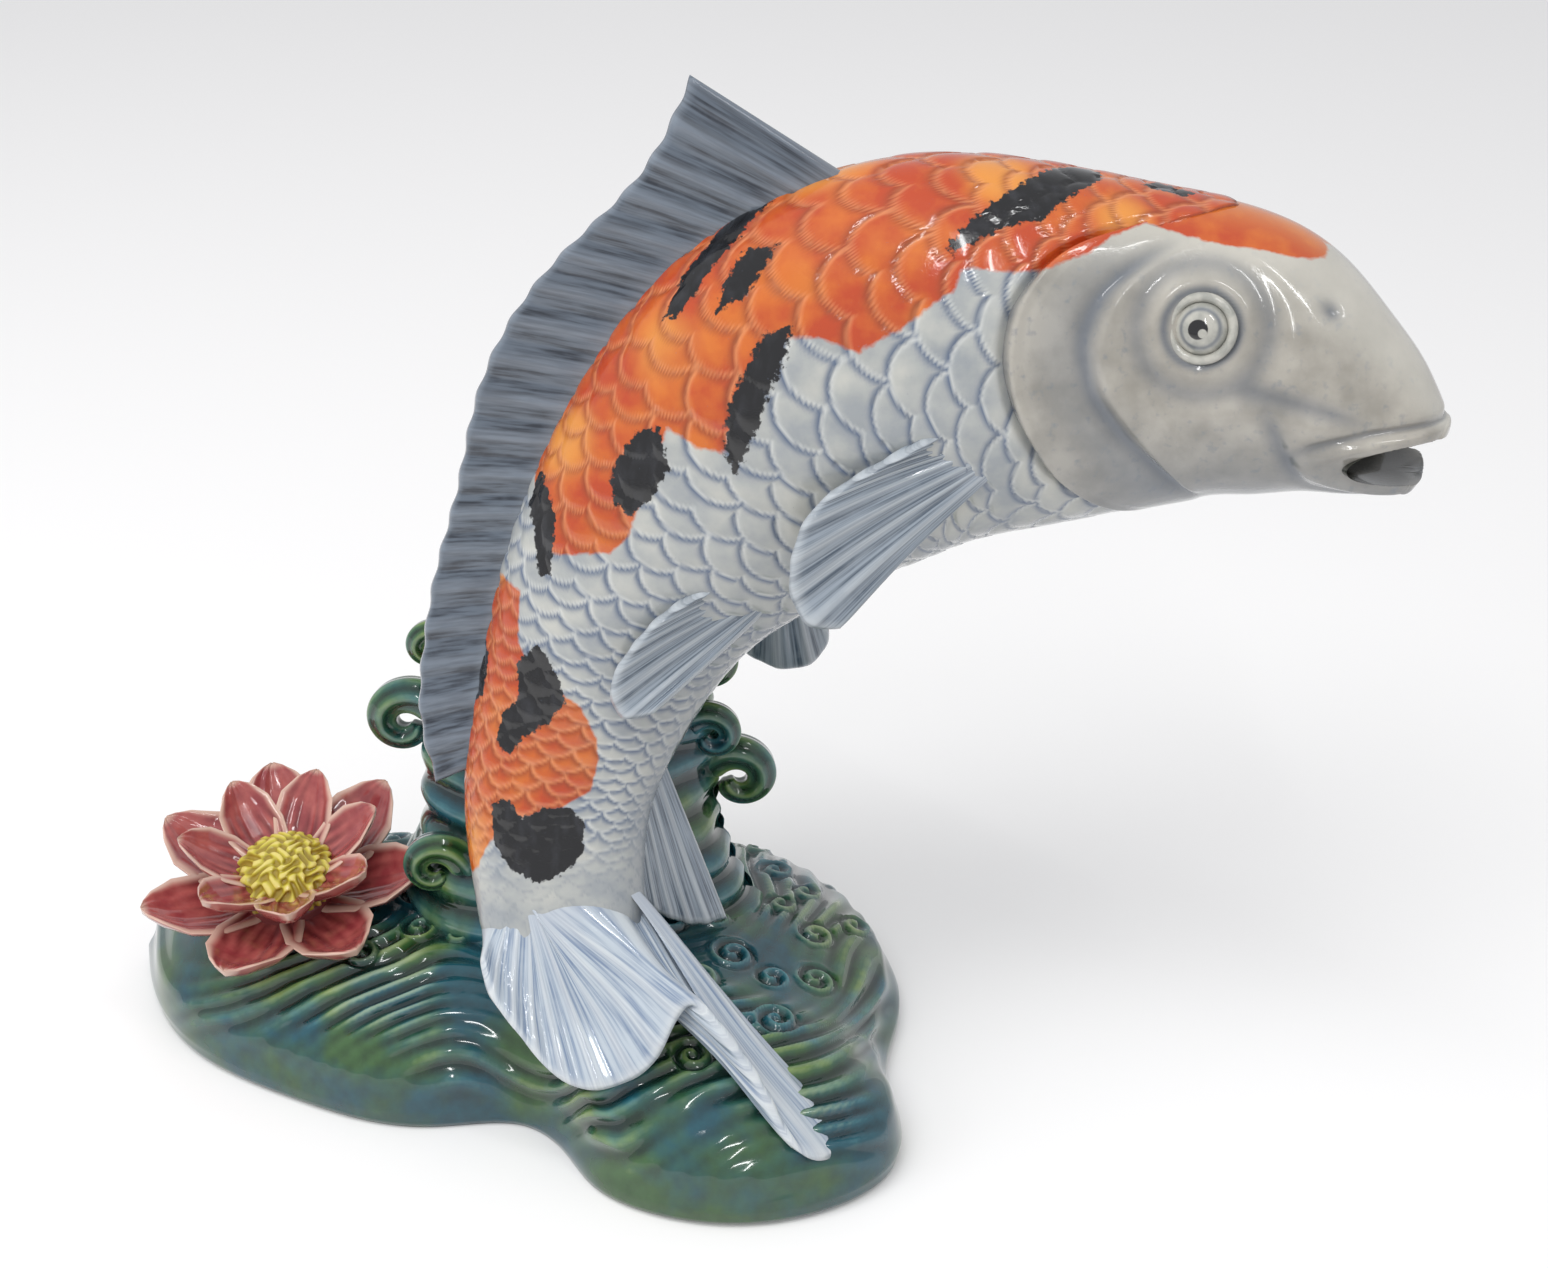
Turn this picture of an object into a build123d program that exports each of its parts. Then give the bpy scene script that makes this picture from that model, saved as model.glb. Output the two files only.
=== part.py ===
from build123d import *
import math
import os

# A glazed pottery koi that leaps out of a curling wave, with a water lily beside it. Millimetres.
# The figure stands on Z = 0, +X runs from the lily to the head, and -Y is the side that shows the fish's right flank.
# It is put together before firing from castings and hand-made sprigs, each cut to fit the one that carries it.

# Wave base
base_length = 163.0
base_width = 117.0
base_height = 27.0
base_wall = 5.0
vent_diameter = 9.0

# Wave column behind the fish
column_length = 58.0
column_width = 36.0
column_height = 60.0
column_x = 12.0
column_y = 21.0

# Wave curls
curl_radius = 6.0
curl_bead = 7.6

# Fish body, along its bent centreline from the tail to the mouth
tail_root_x = 13.0
tail_root_y = -19.0
tail_root_height = 44.0
leap_length = 150.0
leap_sway = 30.0
leap_rise = 106.8
body_depth = 75.0
body_width = 48.0
body_wall = 4.0

# Head
gill_plate_radius = 23.0
gill_plate_step = 2.0
eye_radius = 4.9
eye_ring_radius = 5.8
eye_ring_bead = 1.0
mouth_width = 26.0
mouth_gape = 8.0

# Fins
fin_root_thickness = 4.4
fin_edge_thickness = 2.4
dorsal_fin_length = 33.0
pectoral_fin_length = 45.0
pelvic_fin_length = 39.0
anal_fin_length = 41.0
tail_fin_length = 62.0
dorsal_rays = 20
pectoral_rays = 9
pelvic_rays = 8
anal_rays = 7
tail_rays = 17

# Water lily
lily_radius = 29.0
lily_x = -46.0
lily_y = 12.0
lily_height = 26.5
lily_tilt = 13.0
petal_count = 7
petal_width = 18.0
petal_thickness = 4.6
petal_cup = 3.0
crown_radius = 10.2
crown_height = 7.5
stamen_radius = 1.7

fit_gap = 0.2


def blend(low, high, share):
    """The value a share of the way from low to high."""
    return low + (high - low) * share


def slope_at(table, places, index):
    """How steeply a table runs past one of its entries."""
    before = max(index - 1, 0)
    after = min(index + 1, len(table) - 1)
    return (table[after] - table[before]) / (places[after] - places[before])


def along(table, places, share):
    """A table of numbers that stand at rising places, read at a share on a smooth curve through them."""
    index = 0
    while index < len(places) - 2 and places[index + 1] < share:
        index += 1
    span = places[index + 1] - places[index]
    step = (share - places[index]) / span
    rise = table[index + 1] - table[index]
    start = slope_at(table, places, index) * span
    end = slope_at(table, places, index + 1) * span
    return table[index] + step * (start + step * (3 * rise - 2 * start - end + step * (start + end - 2 * rise)))


def ring(plane, half_wide, half_deep, sides):
    """Points evenly round a plane's middle."""
    turns = [2 * math.pi * side / sides for side in range(sides)]
    return [plane.from_local_coords(Vector(half_wide * math.cos(t), half_deep * math.sin(t), 0)) for t in turns]


def facet_loft(sections):
    """One solid of flat facets through sections that each hold the same number of points."""
    faces = [Face(Wire.make_polygon(sections[0])), Face(Wire.make_polygon(sections[-1]))]
    sides = len(sections[0])
    for lower, upper in zip(sections, sections[1:]):
        for side in range(sides):
            after = (side + 1) % sides
            faces.append(Face(Wire.make_polygon([lower[side], lower[after], upper[after]])))
            faces.append(Face(Wire.make_polygon([lower[side], upper[after], upper[side]])))
    return Solid(Shell(faces))


# Body

body_shares = (
    (0.000, 0.000, 0.000, 0.420, 0.310),
    (-0.004, 0.357, 0.186, 0.468, 0.409),
    (0.037, 0.633, 0.375, 0.555, 0.540),
    (0.101, 0.797, 0.561, 0.677, 0.690),
    (0.194, 0.907, 0.724, 0.835, 0.832),
    (0.309, 0.980, 0.862, 0.960, 0.960),
    (0.443, 1.000, 0.945, 0.960, 1.000),
    (0.575, 0.955, 0.966, 0.885, 0.985),
    (0.713, 0.850, 0.977, 0.765, 0.920),
    (0.812, 0.700, 0.973, 0.685, 0.850),
    (0.872, 0.560, 0.950, 0.585, 0.770),
    (0.926, 0.433, 0.921, 0.450, 0.640),
    (0.962, 0.345, 0.898, 0.335, 0.490),
    (0.992, 0.285, 0.889, 0.290, 0.380),
    (1.017, 0.250, 0.884, 0.215, 0.270),
    (1.026, 0.243, 0.884, 0.140, 0.180),
)
section_points = 24
skin_sections = 24
hollow_points = 12
hollow_sections = 9
nose_crowding = 1.35
belly_fullness = 0.10
TAIL_ROOT = Vector(tail_root_x, tail_root_y, tail_root_height)
SPINE_POINTS = [
    TAIL_ROOT + Vector(x * leap_length, y * leap_sway, z * leap_rise)
    for x, y, z, depth, width in body_shares
]
SPINE = Spline(*SPINE_POINTS)
STATIONS = [SPINE.param_at_point(point) for point in SPINE_POINTS]


def body_frame(share):
    """The plane across the body at a share of its length: x is the fish's right, y its back, z its tail."""
    tangent = SPINE % share
    side = Vector(0, -1, 0)
    side = (side - tangent * side.dot(tangent)).normalized()
    return Plane(origin=SPINE @ share, x_dir=side, z_dir=tangent * -1)


def body_radii(share):
    """Half the body's width and half its depth at a share of its length."""
    depth = along([row[3] for row in body_shares], STATIONS, share)
    width = along([row[4] for row in body_shares], STATIONS, share)
    return width * body_width / 2, depth * body_depth / 2


def skin_point(share, angle, lift=0.0):
    """A point on the body's skin: angle 0 is the right flank and 90 the back, lift stands it off the skin."""
    half_width, half_depth = body_radii(share)
    turn = math.radians(angle)
    across = (half_width + lift) * math.cos(turn) * (1 - belly_fullness * math.sin(turn))
    return body_frame(share).from_local_coords(Vector(across, (half_depth + lift) * math.sin(turn), 0))


def body_section(share, lift, sides=section_points):
    """The outline across the body, stood off by lift."""
    return [skin_point(share, 360.0 * side / sides, lift) for side in range(sides)]


def body_loft(start, end, start_lift, end_lift, stations, sides=section_points):
    """A stretch of the body, stood off by a lift that runs from one value to another."""
    steps = [step / (stations - 1) for step in range(stations)]
    return facet_loft([
        body_section(blend(start, end, step), blend(start_lift, end_lift, step), sides) for step in steps
    ])


def body_skin(lift=0.0):
    """The whole plain body, its sections closer together towards the nose."""
    steps = [step / (skin_sections - 1) for step in range(skin_sections)]
    return facet_loft([body_section(1 - (1 - step) ** nose_crowding, lift) for step in steps])


def body_place(share, right, back, tail=0.0):
    """A point beside the centreline, by its distances to the fish's right, its back and its tail."""
    return body_frame(share).from_local_coords(Vector(right, back, tail))


eye_share = 0.818
eye_angle = 29.0
eye_sides = 14
ball_shares = ((0.9, -0.35), (0.96, 0.12), (0.78, 0.42), (0.42, 0.64))
gill_share = 0.74
gill_reach_share = 0.13
gill_depth_share = 0.5
gill_sink_share = 0.5
gill_sections = 7
gill_sides = 24
mouth_shares = (
    (0.930, 0.10, 0.10, -0.30),
    (0.955, 0.80, 0.60, -0.26),
    (0.985, 0.78, 1.00, -0.26),
    (1.000, 0.62, 1.10, -0.30),
)
mouth_sides = 10
hollow_start_share = 0.06
hollow_end_share = 0.88


def flank_seat(share, angle, side):
    """The plane on a flank whose z looks straight out and whose x looks to the tail."""
    turn = angle if side > 0 else 180.0 - angle
    centre = skin_point(share, turn)
    outward = (skin_point(share, turn, body_wall) - centre).normalized()
    tailward = body_frame(share).z_dir
    tailward = (tailward - outward * tailward.dot(outward)).normalized()
    return Plane(origin=centre, x_dir=tailward, z_dir=outward)


def eye(side):
    """One eye, a ball in a raised ring. side is 1 on the right and -1 on the left."""
    seat = flank_seat(eye_share, eye_angle, side)
    ball = facet_loft([
        ring(seat.offset(rise * eye_radius), spread * eye_radius, spread * eye_radius, eye_sides)
        for spread, rise in ball_shares
    ])
    collar = facet_loft([
        ring(seat.offset(-eye_ring_bead), eye_ring_radius + eye_ring_bead, eye_ring_radius + eye_ring_bead, eye_sides),
        ring(seat.offset(eye_ring_bead), eye_ring_radius, eye_ring_radius, eye_sides),
    ])
    return ball + collar


def gill_plate(side, lift=0.0):
    """One gill plate: a round piece of a thicker skin, proud at its rear edge and level with the cheek in front."""
    sleeve = body_loft(
        gill_share - gill_reach_share,
        gill_share + gill_reach_share,
        gill_plate_step + lift,
        -gill_plate_step * gill_sink_share,
        gill_sections,
    )
    seat = flank_seat(gill_share, 0, side)
    disc = facet_loft([
        ring(seat.offset(reach * gill_plate_radius), gill_plate_radius + lift, gill_plate_radius + lift, gill_sides)
        for reach in (-gill_depth_share, gill_depth_share)
    ])
    return disc & sleeve


def mouth_cutter():
    """The open gape, which narrows inwards and reaches out at both corners."""
    rings = []
    for share, wide, high, drop in mouth_shares:
        half_width, half_depth = body_radii(share)
        middle = body_place(share, 0, half_depth * drop, -mouth_gape if share == 1 else 0)
        plane = Plane(origin=middle, x_dir=body_frame(share).x_dir, z_dir=body_frame(share).z_dir)
        rings.append(ring(plane, wide * mouth_width / 2, high * mouth_gape / 2, mouth_sides))
    return facet_loft(rings)


def koi_body():
    """The hollow body and head, with gill plates, eyes and the open mouth."""
    outer = body_skin().fuse(gill_plate(1), gill_plate(-1), eye(1), eye(-1))
    hollow = body_loft(
        hollow_start_share, hollow_end_share, -body_wall, -body_wall, hollow_sections, hollow_points
    )
    return outer.cut(mouth_cutter(), hollow)


# Fins

valley_thickness_share = 0.62
valley_notch_share = 0.25
blade_shares = ((0.45, 0.65), (0.94, 1.0))


def blade(root, tip, across, foot, edge):
    """The closed outline of one ray: foot is half its root edge, and it thins outwards to its edge thickness."""
    run = tip - root
    right = [root + foot]
    left = [root - foot]
    for place, thinning in blade_shares:
        half = blend(foot.length, edge / 2, thinning)
        right.append(root + run * place + across * half)
        left.append(root + run * place - across * half)
    return [*right, tip, *left[::-1]]


def fin(roots, tips, rays, root_thickness, seat_normal=None):
    """A fin: one solid through a blade for each ray and a thinner, shorter one between each two.
    With a seat normal the root edges lie flat on that seat."""
    root_line = Spline(*roots)
    tip_line = Spline(*tips)
    last = 2 * rays - 2
    blades = []
    for step in range(last + 1):
        share = step / last
        root = root_line @ share
        tip = tip_line @ share
        thinner = 1.0
        if step % 2:
            tip = tip - (tip - root).normalized() * fin_edge_thickness * valley_notch_share
            thinner = valley_thickness_share
        spread = (root_line % share) * root_line.length + (tip_line % share) * tip_line.length
        flat = (tip - root).cross(spread).normalized()
        foot = flat
        if seat_normal:
            foot = seat_normal.cross((tip - root).cross(flat)).normalized()
            if foot.dot(flat) < 0:
                foot = foot * -1
            foot = foot * (root_thickness / 2 * math.sqrt(1 - tail_rim_share * (2 * share - 1) ** 2))
        else:
            foot = foot * (root_thickness / 2 * blend(1, thinner, 0.5))
        blades.append(blade(root, tip, flat, foot, fin_edge_thickness * thinner))
    return facet_loft(blades)


def fin_points(share, angle, length, side, table):
    """Points beside a place on the skin, from a table of shares of the fin's length: outward, to the back, to the tail."""
    seat = body_frame(share).to_local_coords(skin_point(share, angle))
    return [
        body_place(share, seat.X + side * out * length, seat.Y + back * length, seat.Z + tail * length)
        for out, back, tail in table
    ]


dorsal_start_share = 0.583
dorsal_end_share = 0.115
dorsal_sweep = 45.0
dorsal_sink_share = 0.7
dorsal_length_shares = (1.0, 0.63, 0.575, 0.59, 0.53, 0.44, 0.43, 0.42, 0.37, 0.22)


def dorsal_fin():
    """The long fin down the back, its rays swept towards the tail."""
    roots = []
    tips = []
    sweep = math.radians(dorsal_sweep)
    for index, length_share in enumerate(dorsal_length_shares):
        share = blend(dorsal_start_share, dorsal_end_share, index / (len(dorsal_length_shares) - 1))
        half_width, half_depth = body_radii(share)
        length = length_share * dorsal_fin_length
        roots.append(body_place(share, 0, half_depth - fin_root_thickness * dorsal_sink_share))
        tips.append(body_place(share, 0, half_depth + length * math.cos(sweep), length * math.sin(sweep)))
    return fin(roots, tips, dorsal_rays, fin_root_thickness)


pectoral_share = 0.65
pectoral_angle = -15.0
pectoral_root_shares = ((-0.10, -0.08, -0.04), (-0.09, 0.01, -0.02), (-0.09, 0.09, 0.0))
pectoral_tip_shares = (
    (0.26, -0.62, 0.62),
    (0.30, -0.59, 0.73),
    (0.28, -0.47, 0.80),
    (0.26, -0.31, 0.79),
    (0.21, -0.17, 0.73),
    (0.13, -0.04, 0.53),
    (0.05, 0.06, 0.27),
)

pelvic_share = 0.39
pelvic_angle = -40.0
pelvic_root_shares = ((-0.10, -0.02, -0.04), (-0.09, 0.07, 0.0), (-0.09, 0.15, 0.04))
right_pelvic_tip_shares = (
    (0.16, 0.12, 0.85),
    (0.15, 0.22, 0.97),
    (0.14, 0.34, 0.91),
    (0.14, 0.41, 0.71),
    (0.12, 0.41, 0.50),
    (0.07, 0.33, 0.29),
)
left_pelvic_tip_shares = (
    (0.17, -0.55, 0.24),
    (0.21, -0.72, 0.40),
    (0.23, -0.71, 0.56),
    (0.24, -0.59, 0.66),
    (0.25, -0.44, 0.69),
    (0.20, -0.24, 0.60),
    (0.10, -0.05, 0.42),
)

anal_share = 0.12
anal_root_shares = ((0.0, 0.10, -0.30), (0.0, 0.10, 0.0), (0.0, 0.08, 0.30))
anal_tip_shares = (
    (-0.16, -0.46, 0.57),
    (-0.15, -0.36, 0.62),
    (-0.12, -0.22, 0.62),
    (-0.05, -0.06, 0.55),
    (-0.01, 0.02, 0.46),
)

tail_rim_share = 0.80
tail_tip_shares = (
    (0.15, 0.23, 0.09),
    (0.17, 0.21, 0.20),
    (0.17, 0.14, 0.32),
    (0.16, 0.05, 0.45),
    (0.16, -0.06, 0.51),
    (0.15, -0.16, 0.50),
    (0.17, -0.27, 0.43),
    (0.20, -0.39, 0.28),
    (0.21, -0.50, 0.40),
    (0.20, -0.60, 0.60),
    (0.17, -0.70, 0.77),
    (0.10, -0.77, 0.77),
    (-0.01, -0.74, 0.66),
)


def pectoral_fin(side):
    """The fan behind a gill plate."""
    angle = pectoral_angle if side > 0 else 180.0 - pectoral_angle
    roots = fin_points(pectoral_share, angle, pectoral_fin_length, side, pectoral_root_shares)
    tips = fin_points(pectoral_share, angle, pectoral_fin_length, side, pectoral_tip_shares)
    return fin(roots, tips, pectoral_rays, fin_root_thickness)


def pelvic_fin(side, tip_shares):
    """The fan under the belly."""
    angle = pelvic_angle if side > 0 else 180.0 - pelvic_angle
    roots = fin_points(pelvic_share, angle, pelvic_fin_length, side, pelvic_root_shares)
    tips = fin_points(pelvic_share, angle, pelvic_fin_length, side, tip_shares)
    return fin(roots, tips, pelvic_rays, fin_root_thickness)


def anal_fin():
    """The fin under the wrist of the tail, which hangs down to the waves."""
    roots = fin_points(anal_share, -90.0, anal_fin_length, 1, anal_root_shares)
    tips = fin_points(anal_share, -90.0, anal_fin_length, 1, anal_tip_shares)
    return fin(roots, tips, anal_rays, fin_root_thickness)


def tail_fin():
    """Both lobes of the tail, the lower one turned over so that its flat looks up. Its root covers the body's end."""
    half_width, half_depth = body_radii(0)
    reach = half_depth * tail_rim_share
    roots = [body_place(0, 0, back, fit_gap) for back in (reach, 0, -reach)]
    tips = [
        body_place(0, right * tail_fin_length, back * tail_fin_length, tail * tail_fin_length)
        for right, back, tail in tail_tip_shares
    ]
    return fin(roots, tips, tail_rays, 2 * half_width, body_frame(0).z_dir)


# Waves

shore_shares = (
    (-1.0, 0.43), (-0.925, 0.13), (-0.777, -0.14), (-0.497, -0.375), (-0.17, -0.5), (0.044, -0.49),
    (0.146, -0.597), (0.25, -0.807), (0.438, -0.94), (0.573, -0.962), (0.778, -0.896), (0.92, -0.737),
    (0.95, -0.55), (0.925, -0.297), (0.97, 0.05), (0.935, 0.38), (0.81, 0.65), (0.675, 0.855),
    (0.47, 0.97), (0.22, 1.0), (-0.025, 0.975), (-0.307, 0.92), (-0.61, 0.905), (-0.86, 0.735),
)
shore_sides = 56
hollow_sides = 28
swell_shares = ((0.985, 0.0), (1.0, 0.16), (0.97, 0.42), (0.88, 0.62), (0.74, 0.80), (0.56, 0.93), (0.38, 1.0))
hollow_swell_shares = ((0.985, 0.0), (0.97, 0.42), (0.84, 0.66), (0.64, 0.86), (0.38, 1.0))


def shore_line(spread, height, inset, sides):
    """The base's outline at a height, drawn in to a share of its spread and by an inset."""
    line = Spline(*[Vector(x, y, 0) for x, y in shore_shares], periodic=True)
    points = []
    for side in range(sides):
        place = line @ (side / sides)
        wide = spread * base_length / 2 - inset
        deep = spread * base_width / 2 - inset
        points.append(Vector(place.X * wide, place.Y * deep, height))
    return points


def base_swell():
    """The whole mound of water."""
    return facet_loft([shore_line(spread, height * base_height, 0, shore_sides) for spread, height in swell_shares])


def wave_base(swell):
    """The mound as a hollow casting with a floor and a vent hole under it."""
    inside = facet_loft([
        shore_line(spread, base_wall + height * (base_height - 2 * base_wall), base_wall, hollow_sides)
        for spread, height in hollow_swell_shares
    ])
    vent = Solid.make_cylinder(vent_diameter / 2, 2 * base_wall, Plane(origin=(0, 0, -base_wall / 2)))
    return swell - inside - vent


ring_shares = (
    (1.0, 0.0), (0.80, 0.52), (0.46, 0.94), (0.0, 1.0), (-0.52, 0.90), (-0.84, 0.50),
    (-1.0, 0.0), (-0.86, -0.55), (-0.48, -0.92), (0.0, -0.96), (0.46, -0.88), (0.88, -0.50),
)
column_shares = (
    (0.0, -0.05, -0.15, 1.50, 1.65),
    (0.18, -0.04, -0.10, 1.28, 1.35),
    (0.42, 0.0, -0.04, 1.08, 1.08),
    (0.66, 0.02, 0.04, 1.0, 0.98),
    (0.86, -0.04, 0.14, 0.92, 0.90),
    (0.97, -0.10, 0.20, 0.66, 0.62),
    (1.02, -0.14, 0.22, 0.36, 0.32),
)
column_sink_share = 0.5


def wave_column():
    """The rising wave that props the fish, round and leaning."""
    foot = base_height * (1 - column_sink_share)
    sections = []
    for rise, drift_x, drift_y, spread_x, spread_y in column_shares:
        centre_x = column_x + drift_x * column_length / 2
        centre_y = column_y + drift_y * column_width / 2
        height = foot + rise * (base_height + column_height - foot)
        sections.append([
            Vector(
                centre_x + x * spread_x * column_length / 2,
                centre_y + y * spread_y * column_width / 2,
                height,
            )
            for x, y in ring_shares
        ])
    return facet_loft(sections)


curl_turn = 330.0
curl_steps = 12
curl_sides = 8
curl_draw_share = 0.45
curl_thin_share = 0.50
# Each curl: place across, from front to back and up the column, as shares of its sizes, then size and start angle, and hand.
curl_shares = (
    (-1.12, 0.0, 0.60, 1.10, 10.0, 1),
    (-0.90, -0.95, 0.20, 0.95, -10.0, 1),
    (-0.92, 0.10, 0.86, 0.70, 10.0, 1),
    (0.95, 0.10, 0.80, 0.90, 170.0, -1),
    (1.16, 0.10, 0.36, 1.10, 170.0, -1),
    (0.98, -0.20, 0.58, 0.85, 170.0, -1),
)


def wave_curl(across, back, up, size, start, hand):
    """A crest that rolls over on itself, a bead that thins as it winds in."""
    centre = Vector(
        column_x + across * column_length / 2,
        column_y + back * column_width / 2,
        base_height + up * column_height,
    )
    sections = []
    for step in range(curl_steps + 1):
        share = step / curl_steps
        turn = math.radians(start + hand * curl_turn * share)
        radius = curl_radius * size * blend(1.0, curl_draw_share, share)
        bead = curl_bead * size * blend(1.0, curl_thin_share, share)
        outward = Vector(math.cos(turn), 0, math.sin(turn))
        forward = Vector(-math.sin(turn), 0, math.cos(turn)) * hand
        plane = Plane(origin=centre + outward * radius, x_dir=(0, 1, 0), z_dir=forward)
        sections.append(ring(plane, bead / 2, bead / 2, curl_sides))
    return facet_loft(sections)


# Water lily

petal_shares = (
    (0.10, 0.50, 0.00, 0.30, 1.0),
    (0.30, 0.78, 0.02, 0.60, 1.0),
    (0.52, 1.00, 0.07, 1.00, 1.0),
    (0.74, 0.92, 0.15, 1.00, 0.95),
    (0.90, 0.50, 0.24, 0.70, 0.85),
    (0.99, 0.14, 0.30, 0.20, 0.55),
)
petal_section_shares = (-0.5, -0.36, 0.0, 0.36, 0.5)
inner_size_share = 0.70
inner_lift_share = 0.75
inner_steepness = 16.0
receptacle_radius_share = 0.34
receptacle_sink_share = 0.55
receptacle_flare = 1.25
stamen_rings = ((1, 0.0), (petal_count, 0.45), (2 * petal_count, 0.82))
dome_shares = ((1.0, 0.0), (0.94, 0.34), (0.70, 0.71), (0.30, 0.95))
crown_sides = 2 * petal_count
knob_shares = ((-1.0, 1.0), (0.45, 1.0), (0.95, 0.5))
knob_sides = 6


def petal(length, width, steepness, lift):
    """A boat-shaped petal along +X, with a hollow top and thick sides."""
    sections = []
    slope = math.tan(math.radians(steepness))
    for reach, breadth, rise, cup, stout in petal_shares:
        top = []
        under = []
        for across in petal_section_shares:
            hollow = (2 * across) ** 2 * petal_cup * cup
            middle = lift + rise * length + reach * length * slope + hollow
            half = petal_thickness * stout / 2 * (1 - (2 * across) ** 4 * 0.55)
            top.append(Vector(reach * length, across * breadth * width, middle + half))
            under.append(Vector(reach * length, across * breadth * width, middle - half))
        sections.append(top + under[::-1])
    return facet_loft(sections)


def petal_sector(height):
    """A wedge as wide as one petal's share of the flower, less the gap to the next."""
    half_turn = math.radians(180.0 / petal_count)
    reach = 2 * lily_radius
    side = fit_gap / 2
    outline = Polyline(
        (side / math.sin(half_turn), 0, -height),
        (reach, reach * math.tan(half_turn) - side, -height),
        (reach, side - reach * math.tan(half_turn), -height),
        close=True,
    )
    return Solid.extrude(Face(Wire(outline.edges())), Vector(0, 0, 2 * height))


def flower_place():
    """Where the flower stands, leaning to the front."""
    return Location((lily_x, lily_y, lily_height)) * Rotation(lily_tilt, 0, 0)


def receptacle():
    """The short stout stem under the petals, in the flower's own place."""
    radius = lily_radius * receptacle_radius_share
    foot = base_height * receptacle_sink_share
    return facet_loft([
        ring(Plane.XY.offset(-foot), radius * receptacle_flare, radius * receptacle_flare, 2 * petal_count),
        ring(Plane.XY.offset(petal_thickness), radius, radius, 2 * petal_count),
    ])


def stamen_crown():
    """The yellow dome of stamens, a knob for each that leans out from the middle."""
    seat = petal_thickness + fit_gap
    crown = facet_loft([
        ring(Plane.XY.offset(seat + rise * crown_height), spread * crown_radius, spread * crown_radius, crown_sides)
        for spread, rise in dome_shares
    ])
    knobs = []
    for count, spread in stamen_rings:
        for index in range(count):
            turn = math.radians(360.0 * index / count)
            outward = Vector(math.cos(turn) * spread, math.sin(turn) * spread, math.sqrt(1 - spread * spread))
            middle = Vector(outward.X * crown_radius, outward.Y * crown_radius, seat + outward.Z * crown_height)
            knobs.append(facet_loft([
                ring(
                    Plane(
                        origin=middle + outward * reach * stamen_radius,
                        x_dir=(-math.sin(turn), math.cos(turn), 0),
                        z_dir=outward,
                    ),
                    width * stamen_radius,
                    width * stamen_radius,
                    knob_sides,
                )
                for reach, width in knob_shares
            ]))
    return crown.fuse(*knobs)


# Assembly


def main_piece(shape):
    """The largest solid that a cut leaves, without the slivers beside it."""
    return max(shape.solids(), key=lambda solid: solid.volume)


def fish():
    """The body and its fins, each fin cut a hair clear of the skin it grows from."""
    return {
        "koi_body": koi_body(),
        "dorsal_fin": dorsal_fin() - body_skin(fit_gap),
        "tail_fin": tail_fin() - base_swell(),
        "anal_fin": anal_fin().cut(body_skin(fit_gap), base_swell()),
        "right_pectoral_fin": pectoral_fin(1).cut(body_skin(fit_gap), gill_plate(1, fit_gap)),
        "left_pectoral_fin": pectoral_fin(-1).cut(body_skin(fit_gap), gill_plate(-1, fit_gap)),
        "right_pelvic_fin": pelvic_fin(1, right_pelvic_tip_shares) - body_skin(fit_gap),
        "left_pelvic_fin": pelvic_fin(-1, left_pelvic_tip_shares) - body_skin(fit_gap),
    }


def waves():
    """The base, the column on it and the curls on the column."""
    pieces = {"wave_base": wave_base(base_swell())}
    pieces["wave_column"] = wave_column().cut(base_swell(), body_skin())
    for index, shares in enumerate(curl_shares):
        pieces[f"wave_curl_{index + 1}"] = wave_curl(*shares).cut(wave_column(), base_swell())
    return pieces


def lily():
    """The flower: a stem, two rings of petals and the crown of stamens."""
    flower = flower_place()
    stem = receptacle()
    crown = stamen_crown()
    pitch = 360.0 / petal_count
    outer_petal = (petal(lily_radius, petal_width, 0.0, 0.0) & petal_sector(lily_radius)) - stem
    inner_petal = petal(
        lily_radius * inner_size_share,
        petal_width * inner_size_share,
        inner_steepness,
        petal_thickness * inner_lift_share,
    )
    inner_petal = (inner_petal & petal_sector(lily_radius)).cut(stem, Rotation(0, 0, -pitch / 2) * crown)
    for turn in (-pitch / 2, pitch / 2):
        inner_petal = main_piece(inner_petal - Rotation(0, 0, turn) * outer_petal)
    pieces = {
        "lily_receptacle": flower * stem - base_swell(),
        "lily_stamen_crown": flower * crown,
    }
    for index in range(petal_count):
        laid = flower * Rotation(0, 0, pitch * index) * outer_petal
        pieces[f"lily_outer_petal_{index + 1}"] = main_piece(laid.cut(base_swell(), wave_column()))
        pieces[f"lily_inner_petal_{index + 1}"] = flower * Rotation(0, 0, pitch * (index + 0.5)) * inner_petal
    return pieces


os.makedirs("parts", exist_ok=True)
for name, piece in {**fish(), **waves(), **lily()}.items():
    export_step(piece, f"parts/{name}.step")
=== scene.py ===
import math

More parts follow.
